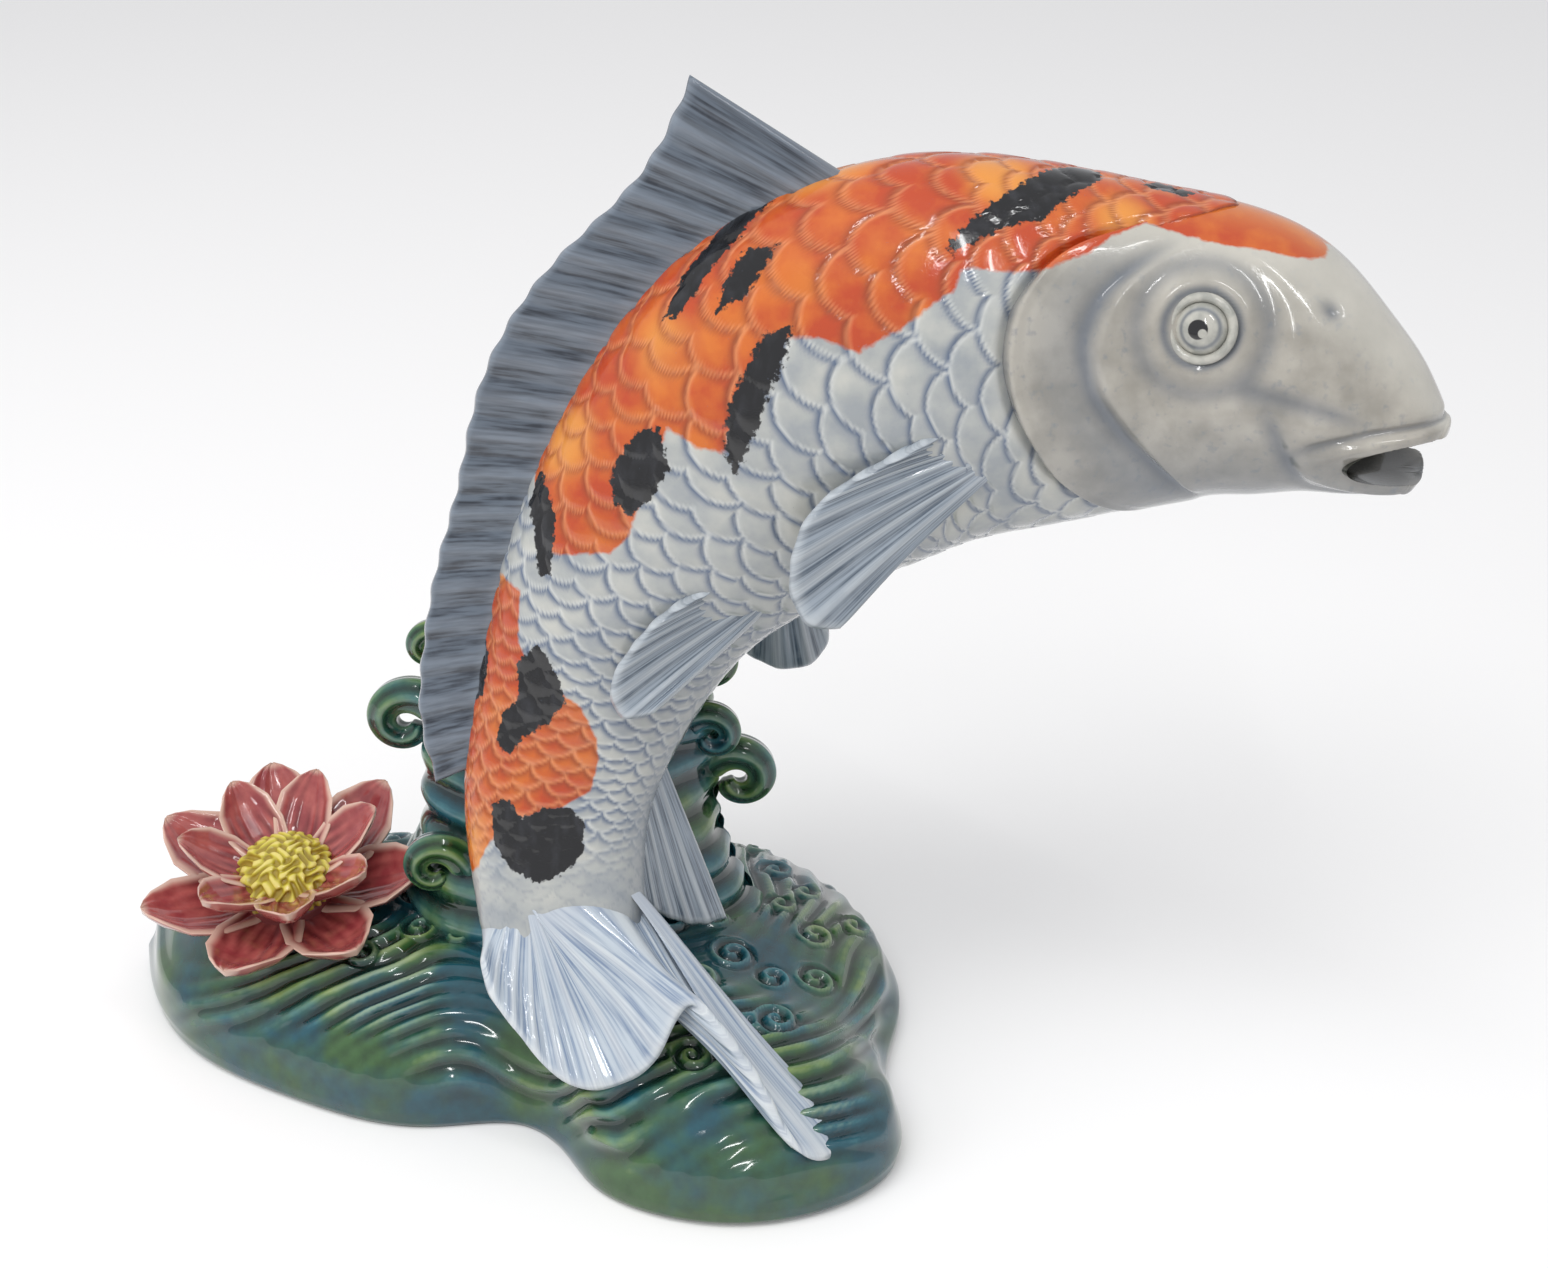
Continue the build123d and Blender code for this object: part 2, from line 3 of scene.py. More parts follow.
import bpy
import numpy as np
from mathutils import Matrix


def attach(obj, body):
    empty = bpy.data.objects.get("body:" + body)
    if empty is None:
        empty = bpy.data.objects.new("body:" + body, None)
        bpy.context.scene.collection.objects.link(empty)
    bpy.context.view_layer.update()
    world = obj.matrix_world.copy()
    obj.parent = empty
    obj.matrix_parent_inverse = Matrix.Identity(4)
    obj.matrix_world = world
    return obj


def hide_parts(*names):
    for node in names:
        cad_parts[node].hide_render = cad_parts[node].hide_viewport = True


# A glazed pottery koi that leaps out of a curling wave, with a water lily beside it.
# Lengths in the tables are millimetres, and every piece is written to its mesh in metres.
MM = 0.001
WELD = 1e-6
TINY = 1e-12
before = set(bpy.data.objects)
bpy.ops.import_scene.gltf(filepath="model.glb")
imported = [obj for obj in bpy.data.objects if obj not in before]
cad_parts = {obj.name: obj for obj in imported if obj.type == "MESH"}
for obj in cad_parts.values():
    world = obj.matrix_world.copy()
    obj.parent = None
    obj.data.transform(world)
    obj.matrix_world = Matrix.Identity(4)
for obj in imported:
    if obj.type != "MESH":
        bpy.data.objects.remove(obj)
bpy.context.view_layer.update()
chance = np.random.default_rng(7)


def line_through(points):
    """A smooth curve through points, and its slope, read at shares from 0 to 1."""
    points = np.array(points, float)
    steps = np.linalg.norm(np.diff(points, axis=0), axis=1)
    knots = np.concatenate([[0.0], np.cumsum(steps)]) / steps.sum()
    count = len(points)
    spans = np.diff(knots)
    matrix = np.eye(count)
    right = np.zeros_like(points)
    for i in range(1, count - 1):
        matrix[i, i - 1 : i + 2] = spans[i - 1], 2 * (spans[i - 1] + spans[i]), spans[i]
        rise = (points[i + 1] - points[i]) / spans[i] - (points[i] - points[i - 1]) / spans[i - 1]
        right[i] = 6 * rise
    bend = np.linalg.solve(matrix, right)

    def read(share):
        """Places on the curve, and its slopes."""
        share = np.asarray(share, float)
        i = np.clip(np.searchsorted(knots, share, side="right") - 1, 0, count - 2)
        span = spans[i][..., None]
        far = (share - knots[i])[..., None]
        near = span - far
        place = (bend[i] * near**3 + bend[i + 1] * far**3) / (6 * span)
        place += (points[i] / span - bend[i] * span / 6) * near
        place += (points[i + 1] / span - bend[i + 1] * span / 6) * far
        slope = (bend[i + 1] * far**2 - bend[i] * near**2) / (2 * span)
        slope += (points[i + 1] - points[i]) / span - (bend[i + 1] - bend[i]) * span / 6
        return place, slope

    read.knots = knots
    return read


def unit(v):
    """Vectors at length 1."""
    return v / (np.linalg.norm(v, axis=-1, keepdims=True) + TINY)


def ease(value, low, high):
    """0 below low, 1 above high and smooth between."""
    t = np.clip((value - low) / (high - low), 0, 1)
    return t * t * (3 - 2 * t)


def bell(value, middle, width):
    """1 at the middle and nearly 0 two widths away."""
    return np.exp(-(((value - middle) / width) ** 2))


def padded_rows(table, before, after):
    """A table with its first and last rows repeated."""
    return np.concatenate([np.repeat(table[:1], before, 0), table, np.repeat(table[-1:], after, 0)])


def stood(seat, ways, amounts):
    """Points at a seat plus an amount along each way."""
    return seat + sum(way * np.asarray(amount)[..., None] for way, amount in zip(ways, amounts))


def dome(ring, middle, outward, power, turns):
    """Rows that close a ring of points over its middle."""
    turns = np.radians(turns)
    return [middle + (ring - middle) * math.cos(turn) ** power + outward * math.sin(turn) for turn in turns]


def sheet(name, places, finish, values, node=(), closing=(0, 0)):
    """A primitive grid whose points are put at places, in rows and columns, with numbers painted on them.

    The numbers leave out the closing rows at the start and the end, which repeat the row next to them.
    """
    rows, columns = places.shape[:2]
    bpy.ops.object.select_all(action="DESELECT")
    bpy.ops.mesh.primitive_grid_add(x_subdivisions=rows - 1, y_subdivisions=columns - 1, size=1.0)
    piece = bpy.context.active_object
    piece.name = name
    mesh = piece.data
    mesh.name = name
    flat = np.zeros(len(mesh.vertices) * 3, np.float32)
    mesh.vertices.foreach_get("co", flat)
    flat = flat.reshape(-1, 3)
    i = np.rint((flat[:, 0] + 0.5) * (rows - 1)).astype(int)
    j = np.rint((flat[:, 1] + 0.5) * (columns - 1)).astype(int)
    before, after = closing
    for key, numbers in values.items():
        numbers = padded_rows(np.broadcast_to(numbers, (rows - before - after, columns)), before, after)
        layer = mesh.attributes.new(key, "FLOAT", "POINT")
        layer.data.foreach_set("value", np.ascontiguousarray(numbers[i, j], np.float32))
    mesh.vertices.foreach_set("co", np.ascontiguousarray(places[i, j] * MM, np.float32).ravel())
    bpy.ops.object.mode_set(mode="EDIT")
    bpy.ops.mesh.select_all(action="SELECT")
    bpy.ops.mesh.remove_doubles(threshold=WELD)
    bpy.ops.mesh.normals_make_consistent(inside=False)
    bpy.ops.object.mode_set(mode="OBJECT")
    bpy.ops.object.shade_smooth()
    mesh.materials.clear()
    mesh.materials.append(finish)
    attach(piece, "root")
    if node:
        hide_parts(*node)


# Finishes


def paint(code):
    """An sRGB hex colour as linear numbers."""
    parts = [int(code[i : i + 2], 16) / 255 for i in (0, 2, 4)]
    return (*[c / 12.92 if c <= 0.04045 else ((c + 0.055) / 1.055) ** 2.4 for c in parts], 1.0)


def add(tree, kind, inputs=None, out=0, **settings):
    """One node with its settings and links. Gives the output that is used of it."""
    made = tree.nodes.new(kind)
    for key, value in settings.items():
        setattr(made, key, value)
    for key, value in (inputs or {}).items():
        if isinstance(value, bpy.types.NodeSocket):
            tree.links.new(value, made.inputs[key])
        else:
            made.inputs[key].default_value = value
    return made.outputs[out]


def glaze(name, painted, clouds, roughness=0.14, coat=0.7):
    """Glazed earthenware: colour under a clear fired glaze, which gives small sharp glints.

    Its masks are numbers painted on the mesh, and clouds by size in millimetres, detail and squeeze in height.
    """
    finish = bpy.data.materials.new(name)
    finish.use_nodes = True
    tree = finish.node_tree
    clay = {"Roughness": roughness, "IOR": 1.5, "Coat Weight": coat, "Coat Roughness": 0.04}
    for key, value in clay.items():
        tree.nodes["Principled BSDF"].inputs[key].default_value = value
    masks = {key: add(tree, "ShaderNodeAttribute", out="Fac", attribute_name=key) for key in painted.split()}
    place = add(tree, "ShaderNodeTexCoord", out="Object")
    for key, size, detail, squeeze in clouds:
        spread = add(tree, "ShaderNodeMapping", {"Vector": place, "Scale": (1, 1, squeeze)})
        cloud = {"Vector": spread, "Scale": 1 / (size * MM), "Detail": detail}
        masks[key] = add(tree, "ShaderNodeTexNoise", cloud)
    return finish, masks


def lay(finish, masks, ground, coats):
    """Coats of colour on a ground: the mask of each, where it starts and is full, its strength and its colour."""
    colour = paint(ground)
    for mask, start, full, strength, over in coats:
        ranged = {"Value": masks[mask], "From Min": start, "From Max": full, "To Max": strength}
        share = add(finish.node_tree, "ShaderNodeMapRange", ranged)
        over = paint(over) if isinstance(over, str) else over
        colour = add(finish.node_tree, "ShaderNodeMix", {0: share, 6: colour, 7: over}, 2, data_type="RGBA")
    return colour


def show(finish, colour, entry="Base Color"):
    """Links a colour, or another value, to the glaze."""
    finish.node_tree.links.new(colour, finish.node_tree.nodes["Principled BSDF"].inputs[entry])


# The koi's glazed earthenware gives the eye grey-white scales with painted blue shade in their crevices, orange
# saddles with frayed edges, black blots and a warm grey face, and painted highlights on the scale edges and the back
KOI, masks = glaze(
    "koi_earthenware_glaze",
    "hollow rim head pale shade glow orange black mouth",
    [
        ("cloud", 9.0, 4.0, 1.0), ("grain", 1.6, 6.0, 1.0), ("fray", 1.1, 3.0, 1.0),
        ("fine", 0.5, 3.0, 1.0), ("soot", 2.2, 5.0, 0.3),
    ],
)
frayed = {0: masks["grain"], 1: 1.3, 2: masks["orange"]}
masks["saddle"] = add(KOI.node_tree, "ShaderNodeMath", frayed, operation="MULTIPLY_ADD")
frayed = {0: masks["fray"], 1: 3.0, 2: masks["black"]}
masks["blot"] = add(KOI.node_tree, "ShaderNodeMath", frayed, operation="MULTIPLY_ADD")
# The face is painted lighter on its top as painted light, with painted shade in its grooves
face = lay(KOI, masks, "8f8b82", [
    ("cloud", 0.35, 0.65, 1.0, "aea99f"), ("grain", 0.58, 0.75, 0.5, "767d84"),
    ("pale", 0.0, 1.0, 0.7, "cfccc2"), ("hollow", 0.0, 1.0, 0.85, "4c5766"),
])
# The saddles carry painted highlights over the back and just inside the scale edges, and painted shade in the
# crevices
saddles = lay(KOI, masks, "b5421a", [
    ("cloud", 0.42, 0.66, 1.0, "cb6a24"), ("glow", 0.0, 1.0, 1.0, "dc9440"),
    ("hollow", 0.0, 1.0, 0.75, "8a3c1c"), ("rim", 0.0, 1.0, 0.5, "eda06a"),
])
blots = lay(KOI, masks, "0d0d10", [("soot", 0.5, 0.8, 1.0, "2a2b30")])
# The scales carry painted shade in their crevices, on the lower side and inside the open mouth, and painted
# highlights just inside their edges
show(KOI, lay(KOI, masks, "969b9e", [
    ("cloud", 0.35, 0.68, 1.0, "bbbbb4"), ("hollow", 0.0, 1.0, 0.95, "54647e"), ("rim", 0.0, 1.0, 0.6, "e0e1db"),
    ("head", 0.0, 1.0, 1.0, face), ("shade", 0.0, 1.0, 0.75, "66717f"),
    ("saddle", 0.40, 1.00, 1.0, saddles), ("blot", 1.35, 1.70, 1.0, blots),
    ("fine", 0.70, 0.78, 0.28, "5f6a7c"), ("mouth", 0.0, 1.0, 1.0, "33342e"),
]))
pits = {"Height": masks["fine"], "Strength": 0.10, "Distance": 0.0003}
show(KOI, add(KOI.node_tree, "ShaderNodeBump", pits), "Normal")


def fin_glaze(name, dark, middle, pale, root):
    """Glazed earthenware for a fin: dark streaks run along the rays, and the crests and the edge are painted paler.
    """
    finish, masks = glaze(name, "crest across along foot brim", [("cloud", 5.0, 4.0, 1.0)])
    along_rays = add(finish.node_tree, "ShaderNodeCombineXYZ", {"X": masks["across"], "Y": masks["along"]})
    streaks = {"Vector": along_rays, "Scale": 3.2, "Detail": 3.0}
    masks["streak"] = add(finish.node_tree, "ShaderNodeTexNoise", streaks)
    show(finish, lay(finish, masks, dark, [
        ("streak", 0.36, 0.60, 1.0, middle), ("crest", 0.1, 1.0, 0.45, pale), ("cloud", 0.5, 0.75, 0.4, middle),
        ("foot", 0.0, 1.0, root, "b4bac2"), ("brim", 0.0, 1.0, 0.45, pale),
    ]))
    return finish


# The paired fins are mid grey-blue, the back fin is slate, and the tail is nearly white like the belly
FIN = fin_glaze("fin_earthenware_glaze", "4a5664", "8f99a3", "c6cbce", 0.6)
DORSAL = fin_glaze("dorsal_earthenware_glaze", "262c36", "5c6672", "868f9a", 0.3)
TAIL = fin_glaze("tail_earthenware_glaze", "7486a0", "b6c0c9", "dcdfde", 0.8)

# The waves' glazed earthenware is painted darker in the grooves and paler on the crests, with painted highlights on
# some crests, teal in one place and green in the next
SEA, masks = glaze(
    "sea_earthenware_glaze", "crest pale", [("cloud", 20.0, 4.0, 1.0), ("fleck", 3.0, 6.0, 1.0)], 0.12, 0.8
)
flecked = {0: masks["fleck"], 1: 0.9, 2: masks["crest"]}
masks["height"] = add(SEA.node_tree, "ShaderNodeMath", flecked, operation="MULTIPLY_ADD")
middle = lay(SEA, masks, "1a4f5c", [("cloud", 0.42, 0.60, 1.0, "3b5e34")])
high = lay(SEA, masks, "4f8a92", [("cloud", 0.42, 0.60, 1.0, "8aa05f")])
show(SEA, lay(SEA, masks, "08242c", [
    ("cloud", 0.40, 0.62, 1.0, "142b17"), ("height", -0.25, 0.70, 1.0, middle),
    ("height", 0.80, 1.60, 0.8, high), ("pale", 0.0, 1.0, 1.0, "a3b08e"),
]))

# The lily's glazed earthenware is a dull pink, red in the hollows and worn pale on the rims
PETAL, masks = glaze("lily_earthenware_glaze", "streak rim", [("cloud", 4.0, 4.0, 1.0)])
show(PETAL, lay(PETAL, masks, "963f42", [
    ("cloud", 0.35, 0.65, 1.0, "b25d58"), ("streak", 0.0, 1.0, 0.8, "5e1a20"), ("rim", 0.0, 1.0, 1.0, "d3b09f"),
]))

# The stamens' glazed earthenware is lemon, and brown between the beads
CROWN, masks = glaze("stamen_earthenware_glaze", "crest", [])
show(CROWN, lay(CROWN, masks, "9a8426", [("crest", -0.5, 0.5, 1.0, "cabd42"), ("crest", 0.5, 1.0, 0.6, "e8d68a")]))

# The eye's glazed earthenware is grey and glossier than the face, with a painted black pupil and painted shade round
# the iris and the ring
EYE, masks = glaze("eye_earthenware_glaze", "hollow pupil", [("cloud", 2.5, 4.0, 1.0)], 0.10, 0.9)
show(EYE, lay(EYE, masks, "9c9c95", [
    ("cloud", 0.4, 0.6, 1.0, "b5b3aa"), ("hollow", 0.0, 1.0, 1.0, "59626f"), ("pupil", -0.08, 0.08, 1.0, "0d0d10"),
]))

# Body: place along x, y and z, depth and width, all as shares, from the tail to the nose

TAIL_ROOT = np.array([13.0, -19.0, 44.0])
LEAP = np.array([150.0, 30.0, 106.8])
BODY_DEPTH = 75.0
BODY_WIDTH = 48.0
BODY = np.array([
    (0.000, 0.000, 0.000, 0.420, 0.310),
    (-0.004, 0.357, 0.186, 0.468, 0.409),
    (0.037, 0.633, 0.375, 0.555, 0.540),
    (0.101, 0.797, 0.561, 0.677, 0.690),
    (0.194, 0.907, 0.724, 0.835, 0.832),
    (0.309, 0.980, 0.862, 0.960, 0.960),
    (0.443, 1.000, 0.945, 0.960, 1.000),
    (0.575, 0.955, 0.966, 0.885, 0.985),
    (0.713, 0.850, 0.977, 0.765, 0.920),
    (0.812, 0.700, 0.973, 0.685, 0.850),
    (0.872, 0.560, 0.950, 0.585, 0.770),
    (0.926, 0.433, 0.921, 0.450, 0.640),
    (0.962, 0.345, 0.897, 0.362, 0.520),
    (0.986, 0.296, 0.880, 0.292, 0.430),
    (1.003, 0.268, 0.868, 0.235, 0.350),
    (1.010, 0.258, 0.863, 0.205, 0.310),
    (1.020, 0.243, 0.856, 0.175, 0.270),
])
spine = line_through(TAIL_ROOT + BODY[:, :3] * LEAP)
BODY_LENGTH = 228.6
PAINT_RADIUS = 27.0
PAINT_DEPTH = 20


def steady(table, share):
    """A table that stands at the spine's knots, read on a smooth curve."""
    knots = spine.knots
    before = np.maximum(np.arange(len(table)) - 1, 0)
    after = np.minimum(np.arange(len(table)) + 1, len(table) - 1)
    slopes = (table[after] - table[before]) / (knots[after] - knots[before])
    i = np.clip(np.searchsorted(knots, share, side="right") - 1, 0, len(table) - 2)
    span = knots[i + 1] - knots[i]
    t = (share - knots[i]) / span
    rise = table[i + 1] - table[i]
    start = slopes[i] * span
    end = slopes[i + 1] * span
    return table[i] + t * (start + t * (3 * rise - 2 * start - end + t * (start + end - 2 * rise)))


def body_frame(share):
    """Place on the spine, and the ways to the fish's right, its back and its tail."""
    place, slope = spine(share)
    ahead = unit(slope)
    side = np.zeros_like(ahead)
    side[..., 1] = -1
    side = unit(side - ahead * (side * ahead).sum(-1, keepdims=True))
    back = np.cross(-ahead, side)
    return place, side, back, -ahead


def body_radii(share):
    """Half the body's width and half its depth."""
    return steady(BODY[:, 4], share) * BODY_WIDTH / 2, steady(BODY[:, 3], share) * BODY_DEPTH / 2


def skin(share, angle, lift=0.0):
    """Points on the skin, lifted square to it by lift. Angle 0 is the right flank and 90 the back."""
    place, side, back, _ = body_frame(share)
    wide, deep = body_radii(share)
    turn = np.radians(angle)
    across = wide * np.cos(turn) * (1 - 0.10 * np.sin(turn))
    up = deep * np.sin(turn)
    out = unit(np.stack([np.cos(turn) / wide, np.sin(turn) / deep], -1))
    return stood(place, (side, back), (across + out[..., 0] * lift, up + out[..., 1] * lift))


def skin_shift(places, share, angle, lift):
    """Points moved square to the skin under them by lift."""
    return places + (skin(share, angle, 1.0) - skin(share, angle)) * lift[..., None]


def girth_radius(share):
    """One radius for the body's girth."""
    wide, deep = body_radii(share)
    return np.sqrt((wide**2 + deep**2) / 2)


def outline_depth(share, angle, outline):
    """How far inside a painted outline each point is, in millimetres, below 0 outside."""
    outline = np.array(outline, float)
    x = share * BODY_LENGTH
    y = np.radians(angle) * PAINT_RADIUS
    px = outline[:, 0] * BODY_LENGTH
    py = np.radians(outline[:, 1]) * PAINT_RADIUS
    nearest = np.full(x.shape, np.inf)
    inside = np.zeros(x.shape, bool)
    for k in range(len(px)):
        ax, ay, bx, by = px[k - 1], py[k - 1], px[k], py[k]
        run = (bx - ax) ** 2 + (by - ay) ** 2 + TINY
        t = np.clip(((x - ax) * (bx - ax) + (y - ay) * (by - ay)) / run, 0, 1)
        nearest = np.minimum(nearest, np.hypot(x - ax - t * (bx - ax), y - ay - t * (by - ay)))
        crosses = (ay > y) != (by > y)
        inside ^= crosses & (x < (bx - ax) * (y - ay) / (by - ay + TINY) + ax)
    return np.where(inside, nearest, -nearest)


# Painted outlines on the nearer flank, by share of the body's length and angle round it: two orange saddles that meet
# their mirror image over the back, black blots, and more blots on the far flank, which are guessed
SADDLE = [
    (0.862, 92), (0.868, 84), (0.869, 75), (0.862, 67), (0.850, 62), (0.836, 60), (0.814, 58), (0.794, 60),
    (0.766, 63), (0.746, 56), (0.724, 46), (0.694, 39), (0.665, 37), (0.631, 38), (0.625, 32), (0.588, 23),
    (0.556, 20), (0.535, 28), (0.515, 32), (0.470, 24), (0.438, 15), (0.425, 22), (0.419, 33), (0.380, 26),
    (0.338, 20), (0.319, 22), (0.300, 36), (0.290, 48), (0.310, 66), (0.325, 80), (0.330, 92),
]
WRIST = [
    (0.256, 92), (0.256, 76), (0.256, 55), (0.219, 47), (0.200, 30), (0.188, 4), (0.165, -10), (0.144, -16),
    (0.113, -18), (0.095, -4), (0.080, 24), (0.062, 46), (0.045, 60), (0.040, 75), (0.045, 92),
]
BLACKS = [
    [
        (0.728, 97), (0.731, 83), (0.705, 66), (0.688, 56), (0.660, 52), (0.625, 42), (0.622, 45),
        (0.644, 57), (0.669, 70), (0.700, 90),
    ],
    [(0.760, 88), (0.790, 84), (0.795, 90), (0.770, 98)],
    [
        (0.540, 84), (0.530, 78), (0.513, 70), (0.488, 62), (0.469, 58), (0.461, 63), (0.486, 73),
        (0.513, 84), (0.528, 92),
    ],
    [(0.536, 60), (0.519, 52), (0.508, 49), (0.490, 50), (0.503, 58), (0.519, 65)],
    [
        (0.524, 34), (0.512, 27), (0.488, 20), (0.456, 12), (0.431, 8), (0.440, 16), (0.462, 25),
        (0.490, 31), (0.508, 36),
    ],
    [(0.415, 35), (0.400, 24), (0.376, 22), (0.352, 24), (0.350, 32), (0.368, 40), (0.400, 41)],
    [(0.330, 76), (0.325, 62), (0.312, 50), (0.281, 41), (0.273, 46), (0.298, 60), (0.310, 74)],
    [(0.205, 84), (0.196, 70), (0.163, 68), (0.156, 84), (0.180, 92)],
    [
        (0.224, 36), (0.219, 27), (0.196, 15), (0.186, 12), (0.163, 17), (0.148, 27), (0.129, 35),
        (0.136, 46), (0.158, 46), (0.175, 38), (0.202, 44),
    ],
    [
        (0.092, 43), (0.096, 30), (0.083, 20), (0.093, 6), (0.096, -8), (0.082, -19), (0.056, -21),
        (0.040, -10), (0.030, 7), (0.042, 28), (0.062, 41),
    ],
]
TWIN_BLACKS = [
    [(0.62, 130), (0.60, 118), (0.55, 124), (0.52, 140), (0.56, 142)],
    [(0.44, 112), (0.42, 124), (0.38, 136), (0.36, 128), (0.40, 112)],
    [(0.09, 118), (0.10, 150), (0.08, 170), (0.04, 165), (0.04, 125)],
    [(0.24, 128), (0.22, 146), (0.16, 150), (0.17, 134)],
]
# The rear edges of the gill cover and the cheek, by angle on the flank and share of the body's length
GILL_ANGLES = (-90, -62, -42, -24, -6, 4, 14, 26, 38, 48, 61, 75, 90)
GILL_SHARES = (0.80, 0.760, 0.725, 0.688, 0.664, 0.656, 0.654, 0.660, 0.680, 0.705, 0.752, 0.785, 0.80)
CHEEK_ANGLES = (-60, -40, -15, 2, 17, 31, 48, 60)
CHEEK_SHARES = (0.85, 0.812, 0.763, 0.733, 0.725, 0.738, 0.775, 0.80)


def folded(angle):
    """The angle on the nearer flank, from -90 at the belly to 90 at the back."""
    angle = (angle + 180) % 360 - 180
    return np.where(np.abs(angle) <= 90, angle, np.sign(angle) * 180 - angle)


def smooth_read(angle, angles, shares):
    """A rough table over the angle on a flank, read with its corners rounded off."""
    fine = np.linspace(-90, 90, 181)
    kernel = np.hanning(19)[1:-1]
    soft = np.convolve(np.pad(np.interp(fine, angles, shares), 8, mode="edge"), kernel / kernel.sum(), "valid")
    return np.interp(angle, fine, soft)


def painted(share, angle):
    """How deep each point lies in the orange and in the black."""
    turned = (angle + 90) % 360 - 90
    orange = black = np.full(share.shape, -np.inf)
    for outline in (SADDLE, WRIST):
        whole = outline + [(outline[-1][0], 100), (outline[0][0], 100)]
        for way in (turned, 180 - turned):
            orange = np.maximum(orange, outline_depth(share, way, whole))
    for outline in BLACKS + TWIN_BLACKS:
        black = np.maximum(black, outline_depth(share, turned, outline))
    return np.clip(orange, -PAINT_DEPTH, PAINT_DEPTH), np.clip(black, -PAINT_DEPTH, PAINT_DEPTH)


# Scales lie in staggered rows round the body, their free edges to the tail. Row pitch and reach are shares of a
# scale's width, and CLEAR is farther from an edge than the paint there reaches.
SCALES_ROUND = 18
ROW_SHARE = 0.48
SCALE_REACH = 0.62
SCALE_HEIGHT = 0.95
UNEVEN = 0.10
CLEAR = 9.0
# How many rows of scales lie behind each place along the body
fine_shares = np.linspace(0, 1, 2001)
scale_width = 2 * math.pi * girth_radius(fine_shares) / SCALES_ROUND
row_line = np.concatenate([[0.0], np.cumsum(fine_shares[1] * BODY_LENGTH / (scale_width[1:] * ROW_SHARE))])


def scale_relief(share, angle):
    """Height of the scales, and how near each point is to a free edge and to the crevice behind one."""
    wide = 2 * math.pi * girth_radius(share) / SCALES_ROUND
    pitch = wide * ROW_SHARE
    reach = wide * SCALE_REACH
    row = np.interp(share, fine_shares, row_line)
    column = (angle % 360) / 360 * SCALES_ROUND
    height = np.zeros(share.shape)
    edge = outside = np.full(share.shape, CLEAR)
    # The nearer rows lie over the farther ones, and each scale is shifted a little by a number of its own
    for step in (-1, 0, 1, 2):
        k = np.floor(row) + step
        shift = 0.5 * (k % 2)
        jitter = UNEVEN * np.sin(k * 12.9898 + np.round(column - shift) * 78.233)
        off = column - shift - np.round(column - shift) - jitter
        along = (k + jitter - row) * pitch
        far = np.hypot(along, off * wide)
        covered = far < reach
        outside = np.where(covered, CLEAR, np.minimum(outside, far - reach))
        crown = 0.30 + 0.70 * (along / reach + 1) / 2 - 0.35 * (off * wide / reach) ** 2
        depth = reach - far
        height = np.where(covered, crown * depth / (depth + 0.8), height)
        edge = np.where(covered, depth, edge)
    return height, edge, outside


def body_grid(rows, columns):
    """Angles round the body in a grid, the same on the nearer flank, and where the gill cover ends there."""
    angle = np.broadcast_to(np.linspace(0, 360, columns), (rows, columns))
    fold = folded(angle)
    return angle, fold, smooth_read(fold, GILL_ANGLES, GILL_SHARES)


# Trunk: it runs on under the gill cover, and both its ends are closed
FULL_GIRTH = 31.0
angle, fold, rear = body_grid(276, 353)
share = np.linspace(0, 1, len(angle))[:, None] * (rear + 0.02)
relief, edge, outside = scale_relief(share, angle)
fade = ease(share, 0.015, 0.09) * (0.45 + 0.55 * ease(fold, -75, -40))
lift = relief * SCALE_HEIGHT * (girth_radius(share) / FULL_GIRTH) ** 0.7 * fade
lift = lift - 1.4 * ease(share, rear - 0.006, rear + 0.004) * ease(70 - fold, 0, 20)
places = skin(share, angle, lift)
root_ring = skin(np.zeros((1, angle.shape[1])), angle[:1])
root_dome = dome(root_ring, spine(0.0)[0], body_frame(np.array(0.0))[3] * 9.0, 0.8, (90, 78, 62, 46, 30, 15))
hidden = np.broadcast_to(spine(0.72)[0], root_ring.shape)
places = np.concatenate([*root_dome, places, places[-1:] * 0.6 + hidden * 0.4, hidden])
orange, black = painted(share, angle)
# Painted shade in the crevices, on the lower side and where scales sit low; painted highlights inside scale edges and
# on the back
hollow = np.maximum(bell(outside, 0, 0.75), bell(edge, 0, 0.4)) * fade
rim = bell(edge, 0.45, 0.35) * fade * ease(0.5 - relief, -0.5, 0.4)
shade = ease(-fold, 30, 85) * 0.5 + 0.35 * ease(0.10 * np.sin(share * 60) - relief, -0.35, 0.1)
glow = np.sin(share * 41 + np.radians(angle) * 2.2) * np.sin(share * 23 - np.radians(angle) * 3.1)
trunk_paint = {
    "orange": orange,
    "black": black,
    "hollow": np.clip(hollow, 0, 1),
    "rim": np.clip(rim, 0, 1),
    "shade": np.clip(shade, 0, 1),
    "head": 0.0,
    "glow": ease(glow, 0.15, 0.9) * ease(fold, 35, 65) * 0.8,
}
sheet("koi_trunk", places, KOI, trunk_paint, ("koi_body",), (len(root_dome), 2))

